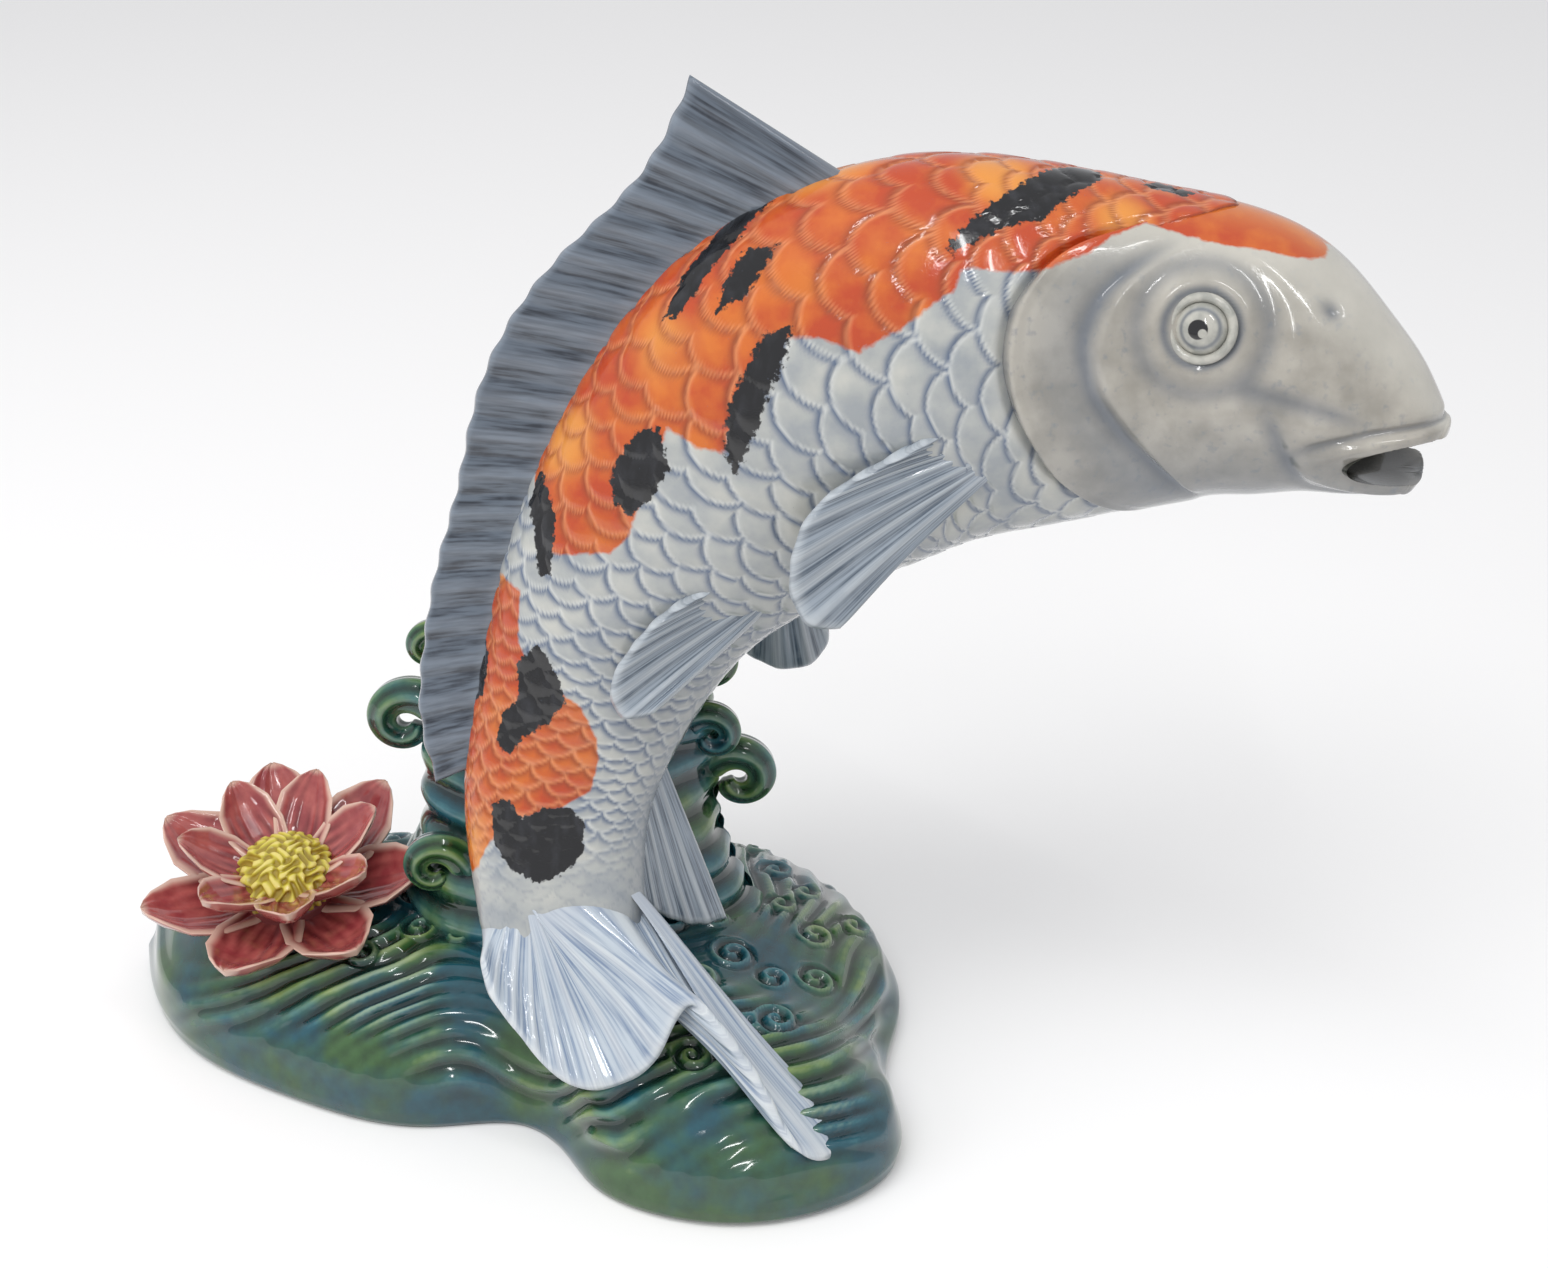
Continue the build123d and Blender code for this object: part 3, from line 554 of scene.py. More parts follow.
# Head: the gill cover with its rolled rear edge, and the cheek on it with a groove behind
EYE_SHARE = np.array(0.814)
EYE_ANGLES = (np.array(24.0), np.array(156.0))
eye_centres = [skin(EYE_SHARE, a) for a in EYE_ANGLES]
eye_looks = [unit(skin(EYE_SHARE, a, 4.0) - centre) for a, centre in zip(EYE_ANGLES, eye_centres)]
angle, fold, rear = body_grid(236, 329)
run = np.concatenate([np.linspace(0, 0.05, 16)[:-1], np.linspace(0.05, 1, len(angle) - 15)])[:, None]
nose = spine.knots[-2]
share = rear + (nose - rear) * run
ahead = (share - rear) * BODY_LENGTH
flank = ease(60 - fold, 0, 26) * (0.1 + 0.9 * ease(fold, -80, -30))
cover = 1.9 * np.exp(-np.maximum(ahead - 5, 0) / 12) * ease(ahead, -0.6, 2.0) + 0.45 * bell(ahead, 2.0, 1.3)
past = (share - smooth_read(fold, CHEEK_ANGLES, CHEEK_SHARES)) * BODY_LENGTH
band = ease(fold, -62, -38) * ease(62 - fold, 0, 22)
cheek = 1.3 * ease(past, -1.2, 2.2) * np.exp(-np.maximum(past, 0) / 14) - 0.9 * bell(past, -2.2, 2.4)
cheek = cheek + 0.5 * bell(past, 9, 1.6) * ease(fold, -50, -20) * ease(18 - fold, 0, 20)
places = skin(share, angle, flank * cover - 1.6 * (1 - ease(ahead, 0, 1.6)) + band * cheek)
# Painted shade in the groove behind the cheek and along the gill cover's step
hollow = band * bell(past, -1.8, 2.0) * 0.8 + flank * bell(ahead, 0.2, 0.9) * 0.6

# Each eye sits in a socket inside a raised ring with a groove round it. Shade is painted just inside the ring and in
# the groove.
for centre, look in zip(eye_centres, eye_looks):
    away = np.linalg.norm(places - centre, axis=-1)
    swell = -1.6 * bell(away, 0, 4.6) + 0.7 * bell(away, 7.6, 1.8) - 0.8 * bell(away, 11.5, 2.6)
    places = places + look * swell[..., None]
    hollow = hollow + 0.85 * bell(away, 6.3, 0.8) + 0.5 * bell(away, 11.0, 1.8)

# Small forms of the face: nostrils, creases under the eye and on the jowl, and a full muzzle, with painted shade in
# the nostrils and creases
nostril = bell((share - 0.888) * BODY_LENGTH, 0, 1.6) * bell(np.radians(fold - 50) * 16, 0, 1.3)
under_eye = bell(fold - 60 * (share - 0.86), 2, 5.0) * ease(share, 0.845, 0.87) * (1 - ease(share, 0.92, 0.96))
jowl = bell((share + 0.0011 * (fold + 25)) * BODY_LENGTH, 0.905 * BODY_LENGTH, 1.7)
jowl = jowl * ease(fold, -52, -36) * ease(2 - fold, 0, 16)
muzzle = bell(share * BODY_LENGTH, 0.925 * BODY_LENGTH, 6.0) * bell(fold, -4, 18.0)
places = skin_shift(places, share, angle, -1.0 * nostril - 0.8 * under_eye - 0.9 * jowl + 0.9 * muzzle)
hollow = hollow + 0.8 * nostril + 0.6 * under_eye + 0.7 * jowl

# The nose closes in small steps. Lips and a crease ring the open mouth, and its hollow is pushed in from the front.
MOUTH = np.array([161.0, -12.0, 137.0])
MOUTH_HALF = np.array([14.0, 16.0, 4.4])
MOUTH_FROM = np.array([2.1, -0.25, 0.0])
tip = places[-1:]
middle = tip[:, :-1].mean(axis=1, keepdims=True)
nose_dome = dome(tip, middle, body_frame(nose)[3] * -2.2, 0.9, np.linspace(2, 90, 40))
places = np.concatenate([places, *nose_dome])
tables = (share, angle, fold, hollow, band * bell(past, -6, 6.0), flank * bell(ahead, 2.0, 0.9))
share, angle, fold, hollow, behind_cheek_shade, cover_edge_highlight = (padded_rows(table, 0, len(nose_dome)) for table in tables)
size = np.linalg.norm((places - MOUTH) / MOUTH_HALF, axis=-1)
above = ease(places[..., 2], MOUTH[2] - 3, MOUTH[2] + 3)
lips = bell(size, 1.24, 0.20) * (1 - 0.75 * above * ease(places[..., 0], 160, 168))
crease = bell(size, 1.66, 0.13) * (0.35 + 0.65 * above) * ease(share, 0.90, 0.925)
places = skin_shift(places, share, angle, 1.1 * lips - 0.8 * crease)
inside = (places - MOUTH) / MOUTH_HALF
size = np.linalg.norm(inside, axis=-1)
way = unit(inside - MOUTH_FROM)
nearing = -(MOUTH_FROM * way).sum(-1)
far = nearing + np.sqrt(np.maximum(nearing**2 - (MOUTH_FROM**2).sum() + 1, 0))
pushed = MOUTH + (MOUTH_FROM + way * far[..., None]) * MOUTH_HALF
places = np.where((size < 1)[..., None], pushed, places)
orange, black = painted(share, angle)
# Painted shade in the grooves, on the lower face and inside the open mouth; painted light on the head's top; painted
# highlights on the gill cover's rolled edge
head_paint = {
    "orange": orange,
    "black": black,
    "hollow": np.clip(hollow + 0.55 * crease, 0, 1),
    "rim": np.clip(cover_edge_highlight * 0.5, 0, 1),
    "shade": np.clip(0.75 * ease(-fold, -8, 70) + 0.35 * behind_cheek_shade, 0, 1),
    "head": 1.0,
    "pale": 0.8 * ease(fold, 25, 62),
    "mouth": ease(1.04 - size, 0.0, 0.14),
    "glow": 0.35 * ease(fold, 60, 85),
}
sheet("koi_head", places, KOI, head_paint)

# Eyes: a ball and a raised ring on each side. The pupil is a dot with a bite out of it, which leaves a painted glint.
BALL_RADIUS = 4.7
RING_RADIUS = 5.2
RING_HALF = 0.85
t = np.linspace(0, 2 * math.pi, 121)[None, :]
for name, centre, look in zip(("right", "left"), eye_centres, eye_looks):
    tail = body_frame(EYE_SHARE)[3]
    tail = unit(tail - look * (tail * look).sum())
    up = np.cross(look, tail)
    up = up * (1 if up[2] > 0 else -1)
    seat = centre + look * 0.2
    a = np.linspace(0, math.pi, 90)[:, None]
    across = BALL_RADIUS * np.sin(a) * np.cos(t)
    high = BALL_RADIUS * np.sin(a) * np.sin(t)
    out = BALL_RADIUS * 0.86 * np.cos(a) * np.ones_like(t)
    away = np.hypot(across, high)
    step = 0.18 * ease(away, 2.9, 3.4) * (out > 0)
    dot = 1.65 - np.hypot(across - 0.3, high + 0.2)
    bite = 0.75 - np.hypot(across + 0.55, high + 0.75)
    # Painted shade round the iris and at the sunken rim of the ball
    ball_paint = {
        "pupil": np.where(out > 0, np.minimum(dot, -bite), -1.0),
        "hollow": 0.7 * bell(away, 3.2, 0.35) * (out > 0) + 0.6 * ease(away, 4.2, 4.9),
    }
    places = stood(seat, (tail, up, look), (across, high, out - 1.2 - step))
    sheet(f"{name}_eye_ball", places, EYE, ball_paint)
    a = np.linspace(0, 2 * math.pi, 33)[:, None]
    reach = RING_RADIUS + RING_HALF * np.cos(a)
    places = stood(seat, (tail, up, look), (reach * np.cos(t), reach * np.sin(t), 0.95 * np.sin(a)))
    # Painted shade where the ring meets the face
    ring_paint = {"pupil": -1.0, "hollow": 0.5 * ease(-np.sin(a), -0.1, 0.6)}
    sheet(f"{name}_eye_ring", places, EYE, ring_paint)


# Fins

# A fin's grid: columns for each ray, rows on each side, and half its thickness at the edge
RAY_COLUMNS = 14
HALF_ROWS = 44
EDGE_HALF = 1.2


def fin(name, roots, tips, rays, root_half, finish, bow=0.0, rim=0.0, ridge=0.16, notch=0.25):
    """A rayed fin between a root line and a tip line.

    It is thick at the root, combed along its rays and scalloped at the edge.
    """
    root_line = line_through(roots)
    tip_line = line_through(tips)
    u = np.linspace(0, 1, rays * RAY_COLUMNS + 1)
    root, root_slope = root_line(u)
    tip, tip_slope = tip_line(u)
    flat = unit(np.cross(tip - root, root_slope + tip_slope))
    comb = np.cos(2 * math.pi * (rays - 1) * u)
    run = tip - unit(tip - root) * (notch * (0.5 - 0.5 * comb))[:, None] - root
    v = np.linspace(0, 1, HALF_ROWS) ** 0.85
    v = np.concatenate([v, v[::-1][1:]])[:, None]
    side = np.sign(np.arange(HALF_ROWS - 1, -HALF_ROWS, -1.0))[:, None]
    ends = np.sqrt(np.clip(1 - np.abs(2 * u - 1) ** 30, 0, 1))
    foot = root_half * np.sqrt(1 - rim * (2 * u - 1) ** 2)
    thick = foot + (EDGE_HALF - foot) * ease(v, 0.0, 0.75)
    strands = 0.22 * np.sin(2 * math.pi * (rays - 1) * u * 3 + 1.3 * np.sin(5 * u))
    combed = ridge * (comb + strands) * ease(v, 0.02, 0.3)
    half = (thick + combed) * np.sqrt(np.clip(1 - v**26, 0, 1)) * ends
    places = stood(root + run * v[..., None], (flat,), (side * half + bow * np.sin(math.pi * v),))
    fin_paint = {
        "crest": comb * ease(v, 0.0, 0.2),
        "across": u * rays * 2.5,
        "along": v * 0.5,
        "foot": 1 - ease(v, 0.0, 0.35),
        "brim": ease(v, 0.93, 1.0),
    }
    sheet(name, places, finish, fin_paint, (name,))


def beside(share, angle, length, side, table):
    """Points beside a place on the skin, by shares of a fin's length outward, to the back and to the tail."""
    share = np.array(share)
    ways = body_frame(share)[1:]
    seat = skin(share, np.array(angle))
    return [stood(seat, ways, (side * out * length, up * length, rear * length)) for out, up, rear in table]


DORSAL_SWEEP = math.radians(45)
dorsal_heights = np.array((1.0, 0.63, 0.575, 0.59, 0.53, 0.44, 0.43, 0.42, 0.37, 0.22)) * 33.0
shares = np.linspace(0.583, 0.115, len(dorsal_heights))
place, _, back, tail = body_frame(shares)
deep = body_radii(shares)[1]
roots = stood(place, (back,), (deep - 3.0,))
reach = (deep + dorsal_heights * math.cos(DORSAL_SWEEP), dorsal_heights * math.sin(DORSAL_SWEEP))
fin("dorsal_fin", roots, stood(place, (back, tail), reach), 20, 2.2, DORSAL, notch=0.5, ridge=0.2)

# Root and tip lines by shares of a fin's length: outward, to the back and to the tail
PECTORAL_ROOTS = ((-0.10, -0.08, -0.04), (-0.09, 0.01, -0.02), (-0.09, 0.09, 0.0))
PECTORAL_TIPS = (
    (0.26, -0.62, 0.62), (0.30, -0.59, 0.73), (0.28, -0.47, 0.80), (0.26, -0.31, 0.79),
    (0.21, -0.17, 0.73), (0.13, -0.04, 0.53), (0.05, 0.06, 0.27),
)
PELVIC_ROOTS = ((-0.10, -0.02, -0.04), (-0.09, 0.07, 0.0), (-0.09, 0.15, 0.04))
RIGHT_PELVIC_TIPS = (
    (0.16, 0.12, 0.85), (0.15, 0.22, 0.97), (0.14, 0.34, 0.91), (0.14, 0.41, 0.71), (0.12, 0.41, 0.50),
    (0.07, 0.33, 0.29),
)
LEFT_PELVIC_TIPS = (
    (0.17, -0.55, 0.24), (0.21, -0.72, 0.40), (0.23, -0.71, 0.56), (0.24, -0.59, 0.66),
    (0.25, -0.44, 0.69), (0.20, -0.24, 0.60), (0.10, -0.05, 0.42),
)
for side, name in ((1, "right"), (-1, "left")):
    angle = -15.0 if side > 0 else 195.0
    roots, tips = (beside(0.65, angle, 45, side, table) for table in (PECTORAL_ROOTS, PECTORAL_TIPS))
    fin(f"{name}_pectoral_fin", roots, tips, 9, 2.2, FIN, bow=1.2 * side)
    angle = -40.0 if side > 0 else 220.0
    pelvic_tips = RIGHT_PELVIC_TIPS if side > 0 else LEFT_PELVIC_TIPS
    roots, tips = (beside(0.39, angle, 39, side, table) for table in (PELVIC_ROOTS, pelvic_tips))
    fin(f"{name}_pelvic_fin", roots, tips, 8, 2.0, FIN, bow=1.0 * side)

ANAL_ROOTS = ((0.0, 0.10, -0.30), (0.0, 0.10, 0.0), (0.0, 0.08, 0.30))
ANAL_TIPS = (
    (-0.16, -0.46, 0.57), (-0.15, -0.36, 0.62), (-0.12, -0.22, 0.62), (-0.05, -0.06, 0.55), (-0.01, 0.02, 0.46),
)
roots, tips = (beside(0.12, -90, 41, 1, table) for table in (ANAL_ROOTS, ANAL_TIPS))
fin("anal_fin", roots, tips, 7, 2.2, FIN)

TAIL_TIPS = (
    (0.15, 0.23, 0.09), (0.17, 0.21, 0.20), (0.17, 0.14, 0.32), (0.16, 0.05, 0.45), (0.16, -0.06, 0.51),
    (0.15, -0.16, 0.50), (0.17, -0.27, 0.43), (0.20, -0.39, 0.28), (0.21, -0.50, 0.40), (0.20, -0.60, 0.60),
    (0.17, -0.70, 0.77), (0.10, -0.77, 0.77), (-0.01, -0.74, 0.66),
)
TAIL_LENGTH = 62
place, right, back, tail = body_frame(np.array(0.0))
wide, deep = body_radii(np.array(0.0))
roots = [place + back * deep * 0.86 * up - tail * 1.5 for up in (1, 0, -1)]
tips = [place + (right * out + back * up + tail * rear) * TAIL_LENGTH for out, up, rear in TAIL_TIPS]
fin("tail_fin", roots, tips, 17, float(wide), TAIL, rim=0.8, notch=0.08)

# Waves

# The shore line of the base, by halves of its length and width
SHORE = [
    (-1.0, 0.43), (-0.925, 0.13), (-0.777, -0.14), (-0.497, -0.375), (-0.17, -0.5), (0.044, -0.49),
    (0.146, -0.597), (0.25, -0.807), (0.438, -0.94), (0.573, -0.962), (0.778, -0.896), (0.92, -0.737),
    (0.95, -0.55), (0.925, -0.297), (0.97, 0.05), (0.935, 0.38), (0.81, 0.65), (0.675, 0.855),
    (0.47, 0.97), (0.22, 1.0), (-0.025, 0.975), (-0.307, 0.92), (-0.61, 0.905), (-0.86, 0.735),
]
BASE = np.array([163.0, 117.0, 27.0])
# Volutes: middle in millimetres, radius and hand. They keep apart, and lie on the top and clear of the lily.
VOLUTE_TRIES = 6000
VOLUTES = 44
volutes = []
for _ in range(VOLUTE_TRIES):
    x, y = chance.uniform(-30, 74), chance.uniform(-56, 40)
    r = chance.uniform(3.2, 6.0)
    apart = all(math.hypot(x - a, y - b) > 1.02 * (r + c) for a, b, c, _ in volutes)
    if apart and math.hypot(x - 8, y - 18) < 66 and (x > 16 or y > -8):
        volutes.append((x, y, r, 1 if chance.random() < 0.6 else -1))
volutes = volutes[:VOLUTES]
STRAND_PITCH = 4.4
VOLUTE_PITCH = 2.9


def sea_relief(places):
    """Combed water: strands that arc round the lily and the wave, and rolling volutes between. From -1 to 1."""
    x, y, z = places[..., 0], places[..., 1], places[..., 2]
    down = y - 0.45 * (BASE[2] - z)
    round_lily = np.hypot(x + 50, (down - 14) * 1.15)
    round_wave = np.hypot(x - 10, down - 26)
    part = ease(x + 0.4 * down, -26, 4)
    flow = round_lily * (1 - part) + round_wave * part
    flow = flow + 2.2 * np.sin(x / 9 + down / 14) + 1.2 * np.sin(down / 5 - x / 12)
    strength = 0.15 + 0.85 * ease(np.sin(x / 13 + 1.0) * np.sin(down / 9 + 0.5 + x / 30), -0.45, 0.35)
    strength = strength * (0.25 + 0.75 * ease(z, 5, 16))
    ridge = np.cos(2 * math.pi * flow / STRAND_PITCH) * strength
    for cx, cy, r, hand in volutes:
        dx, dy = x - cx, down - cy
        far = np.hypot(dx, dy)
        roll = np.cos(2 * math.pi * far / VOLUTE_PITCH + hand * np.arctan2(dy, dx))
        near = 1 - ease(far, 0.75 * r, 1.05 * r)
        ridge = ridge * (1 - near) + roll * near
    return ridge


# Shares of the base's spread and height, from the middle of its underside round the shore to the middle of its top.
# A small share of the rows lies on the flat underside.
SWELL = np.array([
    (0.0, 0.0), (0.6, 0.0), (0.965, 0.0), (0.985, 0.012), (0.995, 0.05), (1.0, 0.16), (0.97, 0.42), (0.88, 0.62),
    (0.74, 0.80), (0.56, 0.93), (0.38, 1.0), (0.18, 1.02), (0.0, 1.03),
])
MEAN_REACH = 65
UNDERSIDE_ROWS = 0.12
BEND = slice(26, -4)
measure = np.hypot(np.diff(SWELL[:, 0]) * MEAN_REACH, np.diff(SWELL[:, 1]) * BASE[2])
measure = np.concatenate([[0], np.cumsum(measure)])
level = np.linspace(0, 1, 164)
rest = MEAN_REACH + (level - UNDERSIDE_ROWS) / (1 - UNDERSIDE_ROWS) * (measure[-1] - MEAN_REACH)
level = np.where(level < UNDERSIDE_ROWS, level * MEAN_REACH / UNDERSIDE_ROWS, rest)
spread = np.interp(level, measure, SWELL[:, 0])
rise = np.interp(level, measure, SWELL[:, 1])
soft = np.hanning(9)[1:-1] / np.hanning(9)[1:-1].sum()
rise[BEND] = np.convolve(rise, soft, "same")[BEND]
spread[BEND] = np.convolve(spread, soft, "same")[BEND]
shore = line_through(SHORE + SHORE[:1])(np.linspace(0, 1, 593))[0]
shore[-1] = shore[0]
places = np.stack([
    shore[:, 0] * spread[:, None] * BASE[0] / 2,
    shore[:, 1] * spread[:, None] * BASE[1] / 2,
    np.broadcast_to(rise[:, None] * BASE[2], (len(rise), len(shore))),
], -1)


def bumped(places, height):
    """Points moved square to their surface by a height."""
    du = np.gradient(places, axis=0)
    dv = np.gradient(places, axis=1)
    dv[:, 0] = dv[:, -1] = (places[:, 1] - places[:, -2]) / 2
    square = unit(np.cross(du, dv))
    middle = places.reshape(-1, 3).mean(0)
    outward = np.sign((square * (places - middle)).sum(-1).mean())
    return places + square * outward * height[..., None]


ridge = sea_relief(places)
live = ease(places[..., 2], 2.0, 9.0)
bulge = 1.2 * np.sin(places[..., 0] / 15) * np.cos(places[..., 1] / 12)
places = bumped(places, (0.75 * ridge + bulge) * live - 0.6 * live)
# Painted highlights: pale patches on the highest crests
pale = ease(np.sin(places[..., 0] / 9 + 1.0) * np.sin(places[..., 1] / 11), 0.0, 0.8)
base_paint = {"crest": ridge * live, "pale": ease(ridge, 0.55, 1.0) * pale * 0.55 * live}
sheet("wave_base", places, SEA, base_paint, ("wave_base",))

# The wave stands on the base: its middle, and the halves of its width and depth with its full height
WAVE = np.array([12.0, 21.0, 27.0])
WAVE_SIZE = np.array([29.0, 18.0, 60.0])
WAVE_FOOT = 13.5
RING = [
    (1.0, 0.0), (0.80, 0.52), (0.46, 0.94), (0.0, 1.0), (-0.52, 0.90), (-0.84, 0.50),
    (-1.0, 0.0), (-0.86, -0.55), (-0.48, -0.92), (0.0, -0.96), (0.46, -0.88), (0.88, -0.50),
]
# Share of the height, shift to the right and to the back, and spread both ways, from the foot to the crest
COLUMN = np.array([
    (0.0, -0.05, -0.15, 1.50, 1.65), (0.18, -0.04, -0.10, 1.28, 1.35), (0.42, 0.0, -0.04, 1.08, 1.08),
    (0.66, 0.02, 0.04, 1.0, 0.98), (0.86, -0.04, 0.14, 0.92, 0.90), (0.97, -0.10, 0.20, 0.66, 0.62),
    (1.02, -0.14, 0.22, 0.36, 0.32),
])
ring = line_through(RING + RING[:1])(np.linspace(0, 1, 301))[0]
ring[-1] = ring[0]
level = np.linspace(0, 1, 130)[:, None]
knots = np.linspace(0, 1, len(COLUMN))
up, right, back, wide, deep = (np.interp(level, knots, column) for column in COLUMN.T)
height = WAVE_FOOT + up * (WAVE[2] + WAVE_SIZE[2] - WAVE_FOOT)
places = np.stack([
    WAVE[0] + WAVE_SIZE[0] * (right + ring[:, 0] * wide),
    WAVE[1] + WAVE_SIZE[1] * (back + ring[:, 1] * deep),
    np.broadcast_to(height, (len(level), len(ring))),
], -1)
turn = np.linspace(0, 2 * math.pi, len(ring))[None, :]
combed = np.cos(height / 1.05 + 2.6 * turn + 0.9 * np.sin(3 * turn + height / 9)) * 0.8
lobes = np.sin(4 * turn + height / 8.5)
places = bumped(places, 0.7 * combed + 1.3 * lobes - 0.9)
top = places[-1:].mean(axis=1, keepdims=True) + np.array([0, 0, 0.6])
top = np.broadcast_to(top, places[:1].shape)
low = np.broadcast_to(places[:1].mean(axis=1, keepdims=True), top.shape)
places = np.concatenate([low, places, (places[-1:] + top) / 2, top])
sheet("wave_column", places, SEA, {"crest": combed, "pale": 0.0}, ("wave_column",), (1, 2))

# Curls: place by the wave's size, then size, the angle that they start from and their hand
CURLS = (
    (-1.12, 0.0, 0.60, 1.10, 10.0, 1), (-0.90, -0.95, 0.20, 0.95, -10.0, 1), (-0.92, 0.10, 0.86, 0.70, 10.0, 1),
    (0.95, 0.10, 0.80, 0.90, 170.0, -1), (1.16, 0.10, 0.36, 1.10, 170.0, -1), (0.98, -0.20, 0.58, 0.85, 170.0, -1),
)
s = np.linspace(0, 1, 150)[:, None]
t = np.linspace(0, 2 * math.pi, 61)[None, :]
comb = np.cos(6 * t + 5 * s)
for number, (right, back, up, size, start, hand) in enumerate(CURLS, 1):
    centre = WAVE + WAVE_SIZE * (right, back, up)
    turn = np.radians(start + hand * 330 * s)
    radius = 6.0 * size * (1 - 0.55 * s)
    bead = 7.6 * size * (1 - 0.50 * s) / 2 * np.sqrt(np.clip(1 - np.abs(2 * s - 1) ** 24, 0, 1))
    bead = bead * (1 + 0.06 * comb)
    out = np.concatenate([np.cos(turn), np.zeros_like(turn), np.sin(turn)], 1)[:, None, :]
    places = stood(centre, (out, np.array([0.0, 1.0, 0.0])), (radius + bead * np.cos(t), bead * np.sin(t)))
    name = f"wave_curl_{number}"
    sheet(name, places, SEA, {"crest": comb * 0.7 + 0.2, "pale": 0.0}, (name,))

# Water lily

LILY = np.array([-46.0, 12.0, 26.5])
TILT = math.radians(13)


def flower(places):
    """From the flower's own place to its place on the base."""
    x, y, z = places[..., 0], places[..., 1], places[..., 2]
    return np.stack([x, y * math.cos(TILT) - z * math.sin(TILT), y * math.sin(TILT) + z * math.cos(TILT)], -1) + LILY


# How far out along a petal, and there its width, rise, cupping and thickness as shares
PETAL_REACH = (0.1, 0.3, 0.52, 0.74, 0.9, 0.97, 1.0)
PETAL_WIDTH = (0.50, 0.78, 1.0, 0.90, 0.52, 0.26, 0.04)
PETAL_KNOTS = (0.1, 0.3, 0.52, 0.74, 0.9, 1.0)
PETAL_RISE = (0, 0.02, 0.07, 0.15, 0.24, 0.31)
PETAL_CUP = (0.3, 0.6, 1.0, 1.0, 0.7, 0.2)
PETAL_STOUT = (1.0, 1.0, 1.0, 0.95, 0.85, 0.35)
PETAL_HALF = 2.3


def petal(name, length, width, steep, lift, turn, seed):
    """A boat-shaped petal: hollow top, thick sides, pointed end."""
    s = np.linspace(0, 1, 60)[:, None]
    t = np.linspace(0, 2 * math.pi, 97)[None, :]
    reach = 0.10 + 0.90 * s
    breadth = np.interp(reach, PETAL_REACH, PETAL_WIDTH)
    rise, cup, stout = (np.interp(reach, PETAL_KNOTS, shares) for shares in (PETAL_RISE, PETAL_CUP, PETAL_STOUT))
    across = np.sign(np.cos(t)) * np.abs(np.cos(t)) ** 0.75
    over = np.sign(np.sin(t)) * np.abs(np.sin(t)) ** 0.6
    half = PETAL_HALF * stout * (1 - across**4 * 0.55)
    top = over > 0
    trough = np.where(top, 1.5 * (1 - across**2) * ease(s, 0.05, 0.35) * (1 - ease(s, 0.8, 1.0)), 0)
    veins = np.cos(across * math.pi * 5) * top * ease(s, 0.1, 0.4)
    z = lift + rise * length + reach * length * math.tan(math.radians(steep))
    z = z + across**2 * 3.0 * cup + over * half - trough + 0.12 * veins
    y = across / 2 * breadth * width + 0.5 * np.sin(6 * s + seed) * s
    x = reach * length + 0 * t
    c, d = math.cos(math.radians(turn)), math.sin(math.radians(turn))
    places = flower(np.stack([x * c - y * d, x * d + y * c, z], -1))
    ends = [np.broadcast_to(row.mean(axis=1, keepdims=True), row.shape) for row in (places[:1], places[-1:])]
    rim = np.where(top, ease(np.abs(across), 0.72, 0.95), 0.25 * ease(np.abs(across), 0.7, 1.0))
    rim = np.maximum(rim, ease(s, 0.93, 1.0))
    streak = np.where(top, 0.5 + 0.5 * np.cos(across * math.pi * 6 + 2 * np.sin(7 * s + seed)), 0.1)
    streak = np.clip(streak * (1 - rim), 0, 1) * ease(0.9 - s, 0, 0.5)
    places = np.concatenate([ends[0], places, ends[1]])
    sheet(name, places, PETAL, {"rim": rim, "streak": streak}, (name,), (1, 1))


OUTER_LENGTH = 29.0
OUTER_WIDTH = 18.0
INNER_SHARE = 0.7
for index in range(7):
    turn = 360 / 7 * index
    petal(f"lily_outer_petal_{index + 1}", OUTER_LENGTH, OUTER_WIDTH, 0.0, 0.0, turn, index)
    inner = (OUTER_LENGTH * INNER_SHARE, OUTER_WIDTH * INNER_SHARE, 16.0, PETAL_HALF * 1.5)
    petal(f"lily_inner_petal_{index + 1}", *inner, turn + 180 / 7, index + 3)

# The stamens are a beaded cushion, and the receptacle under it holds the petals
CROWN_RADIUS = 10.2
CROWN_FOOT = 4.8
a = np.linspace(0, math.pi / 2, 90)[:, None]
t = np.linspace(0, 2 * math.pi, 221)[None, :]
bx, by = 9 * np.sin(a) * np.cos(t), 9 * np.sin(a) * np.sin(t)
beads = np.sin(1.9 * bx + 1.6 * np.sin(1.1 * by) + 3 * a) * np.sin(2.1 * by + 1.5 * np.sin(1.3 * bx + 2 * a))
beads = np.tanh(2.2 * beads)
size = 1 + 0.055 * beads
reach = CROWN_RADIUS * np.sin(a) * size
places = np.stack([reach * np.cos(t), reach * np.sin(t), CROWN_FOOT + 7.2 * np.cos(a) ** 0.8 * size], -1)
places[-1, :, 2] = CROWN_FOOT
foot = np.broadcast_to([0.0, 0.0, CROWN_FOOT], places[-1:].shape)
places = flower(np.concatenate([places, foot]))
sheet("lily_stamen_crown", places, CROWN, {"crest": beads}, ("lily_stamen_crown",), (0, 1))

rows = np.array([(0.01, -14.5), (12.3, -14.5), (11.0, -5.0), (9.9, 3.0), (9.5, 4.5), (0.01, 4.6)])[:, :, None]
radius, height = rows[:, 0], rows[:, 1]
places = flower(np.stack([radius * np.cos(t), radius * np.sin(t), height + 0 * t], -1))
sheet("lily_receptacle", places, PETAL, {"rim": 0.0, "streak": 0.8}, ("lily_receptacle",))

# Floor, light and camera

bpy.ops.object.select_all(action="DESELECT")
bpy.ops.mesh.primitive_plane_add(size=6.0, location=(0, 0, 0))
floor = bpy.context.active_object
floor.name = "studio_floor"

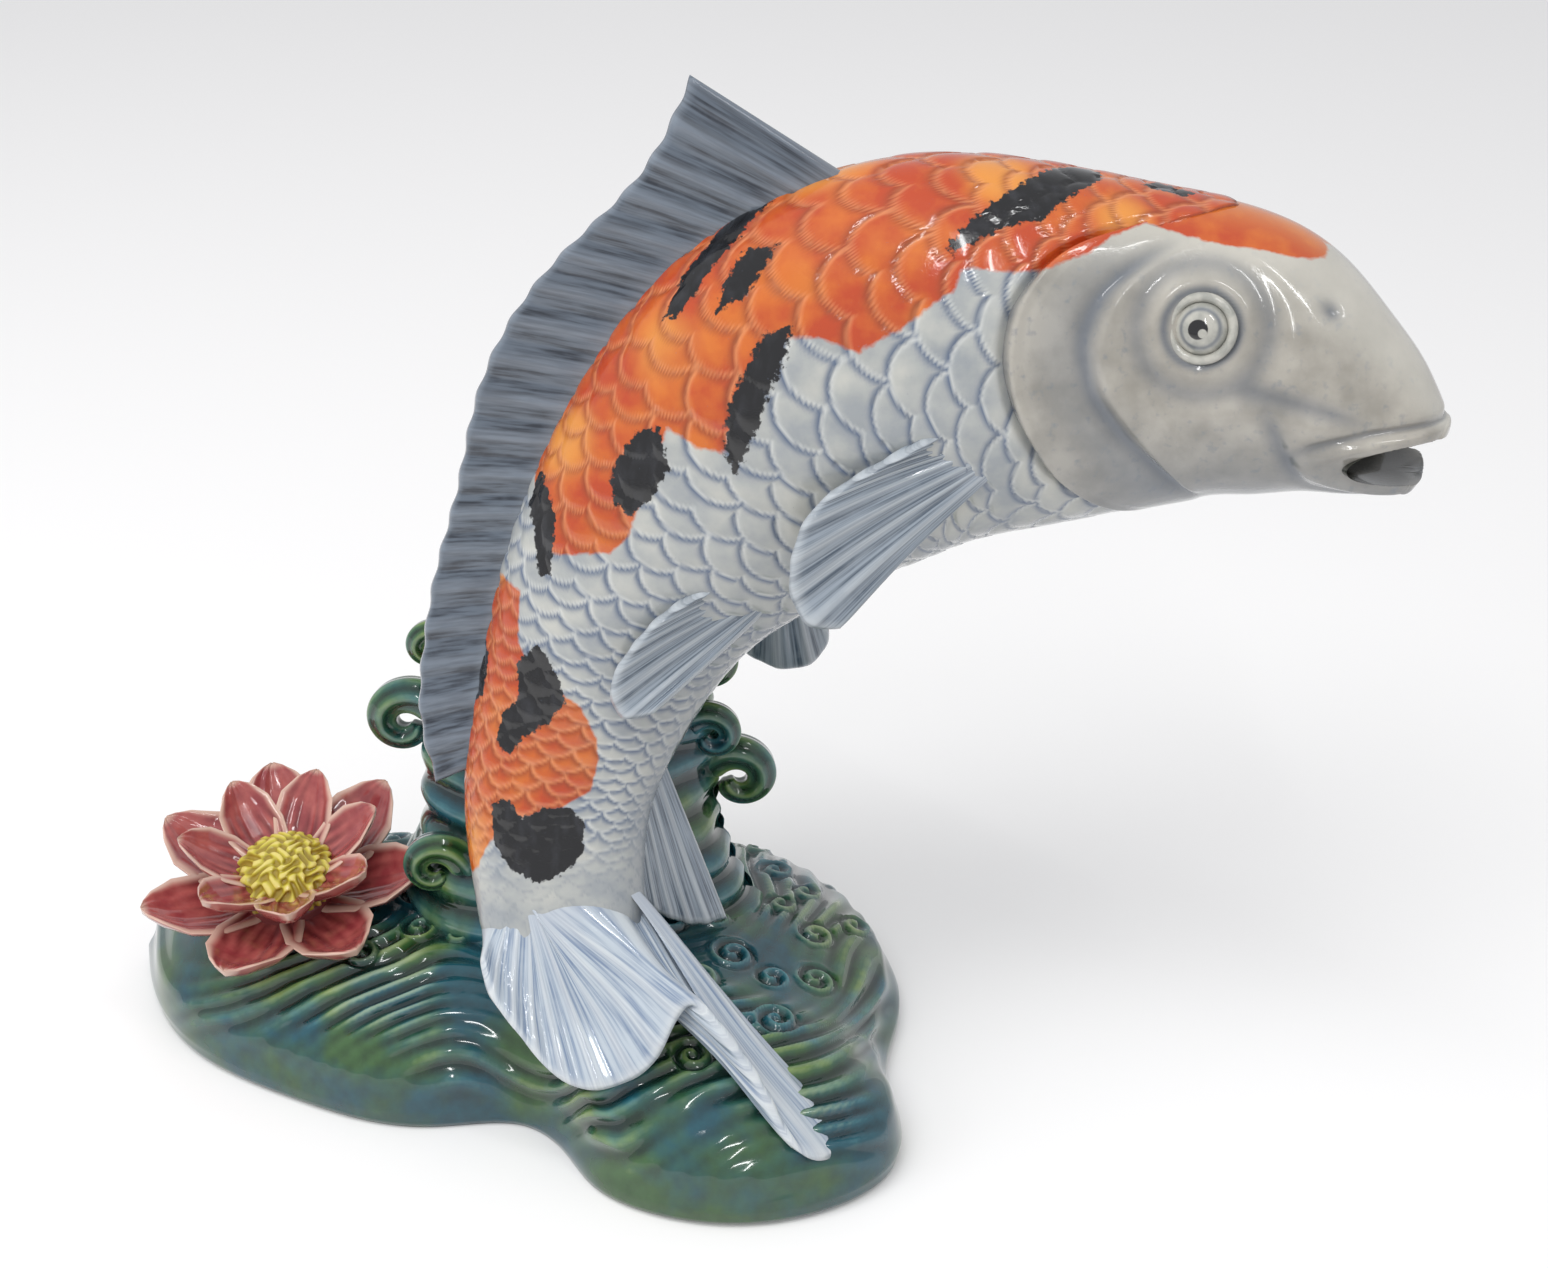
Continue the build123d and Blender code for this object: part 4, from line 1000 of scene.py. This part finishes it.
# White card: a matt, even ground that takes soft shadows. The camera sees it a little lifted, as in the photo.
card = bpy.data.materials.new("white_card")
card.use_nodes = True
seen = add(card.node_tree, "ShaderNodeLightPath", out="Is Camera Ray")
lifted = add(card.node_tree, "ShaderNodeMath", {0: seen, 1: 0.10}, operation="MULTIPLY")
matt = card.node_tree.nodes["Principled BSDF"].inputs
matt["Base Color"].default_value = paint("ecebea")
matt["Roughness"].default_value = 0.9
matt["Emission Color"].default_value = (1, 1, 1, 1)
card.node_tree.links.new(lifted, matt["Emission Strength"])
floor.data.materials.append(card)

world = bpy.data.worlds.new("pale_room")
bpy.context.scene.world = world
world.use_nodes = True
world.node_tree.nodes["Background"].inputs["Color"].default_value = (0.96, 0.97, 1.0, 1)
world.node_tree.nodes["Background"].inputs["Strength"].default_value = 0.62


def lamp(name, place, aim, size, length, power):
    """A rectangular lamp that faces a point. Only narrow ones show as glints in the glaze."""
    bpy.ops.object.light_add(type="AREA", location=place)
    made = bpy.context.active_object
    made.name = name
    made.data.shape = "RECTANGLE"
    made.data.size = size
    made.data.size_y = length
    made.data.energy = power
    made.visible_glossy = size < 0.1
    run = np.array(aim) - np.array(place)
    flat = math.hypot(run[0], run[1])
    made.rotation_euler = (math.atan2(flat, -run[2]), 0, math.atan2(run[1], run[0]) - math.pi / 2)


middle = (0.05, 0.0, 0.09)
lamp("soft_top", (-0.25, -0.35, 1.1), middle, 0.8, 0.8, 7.0)
lamp("soft_left", (-1.0, -0.5, 0.6), middle, 0.6, 0.6, 3.0)
lamp("glint_front", (0.10, -0.75, 0.95), middle, 0.035, 0.4, 1.0)
lamp("glint_right", (0.45, -0.35, 0.85), middle, 0.03, 0.35, 0.6)

# The photo's view: from the front, 430 mm off and 29 degrees down
bpy.ops.object.camera_add(location=(0.053, -0.3651, 0.2965), rotation=(math.radians(61), 0, 0))
camera = bpy.context.active_object
camera.data.sensor_width = 36
camera.data.lens = 52.33
camera.data.clip_start = 0.01
bpy.context.scene.camera = camera
bpy.context.scene.view_settings.view_transform = "Standard"
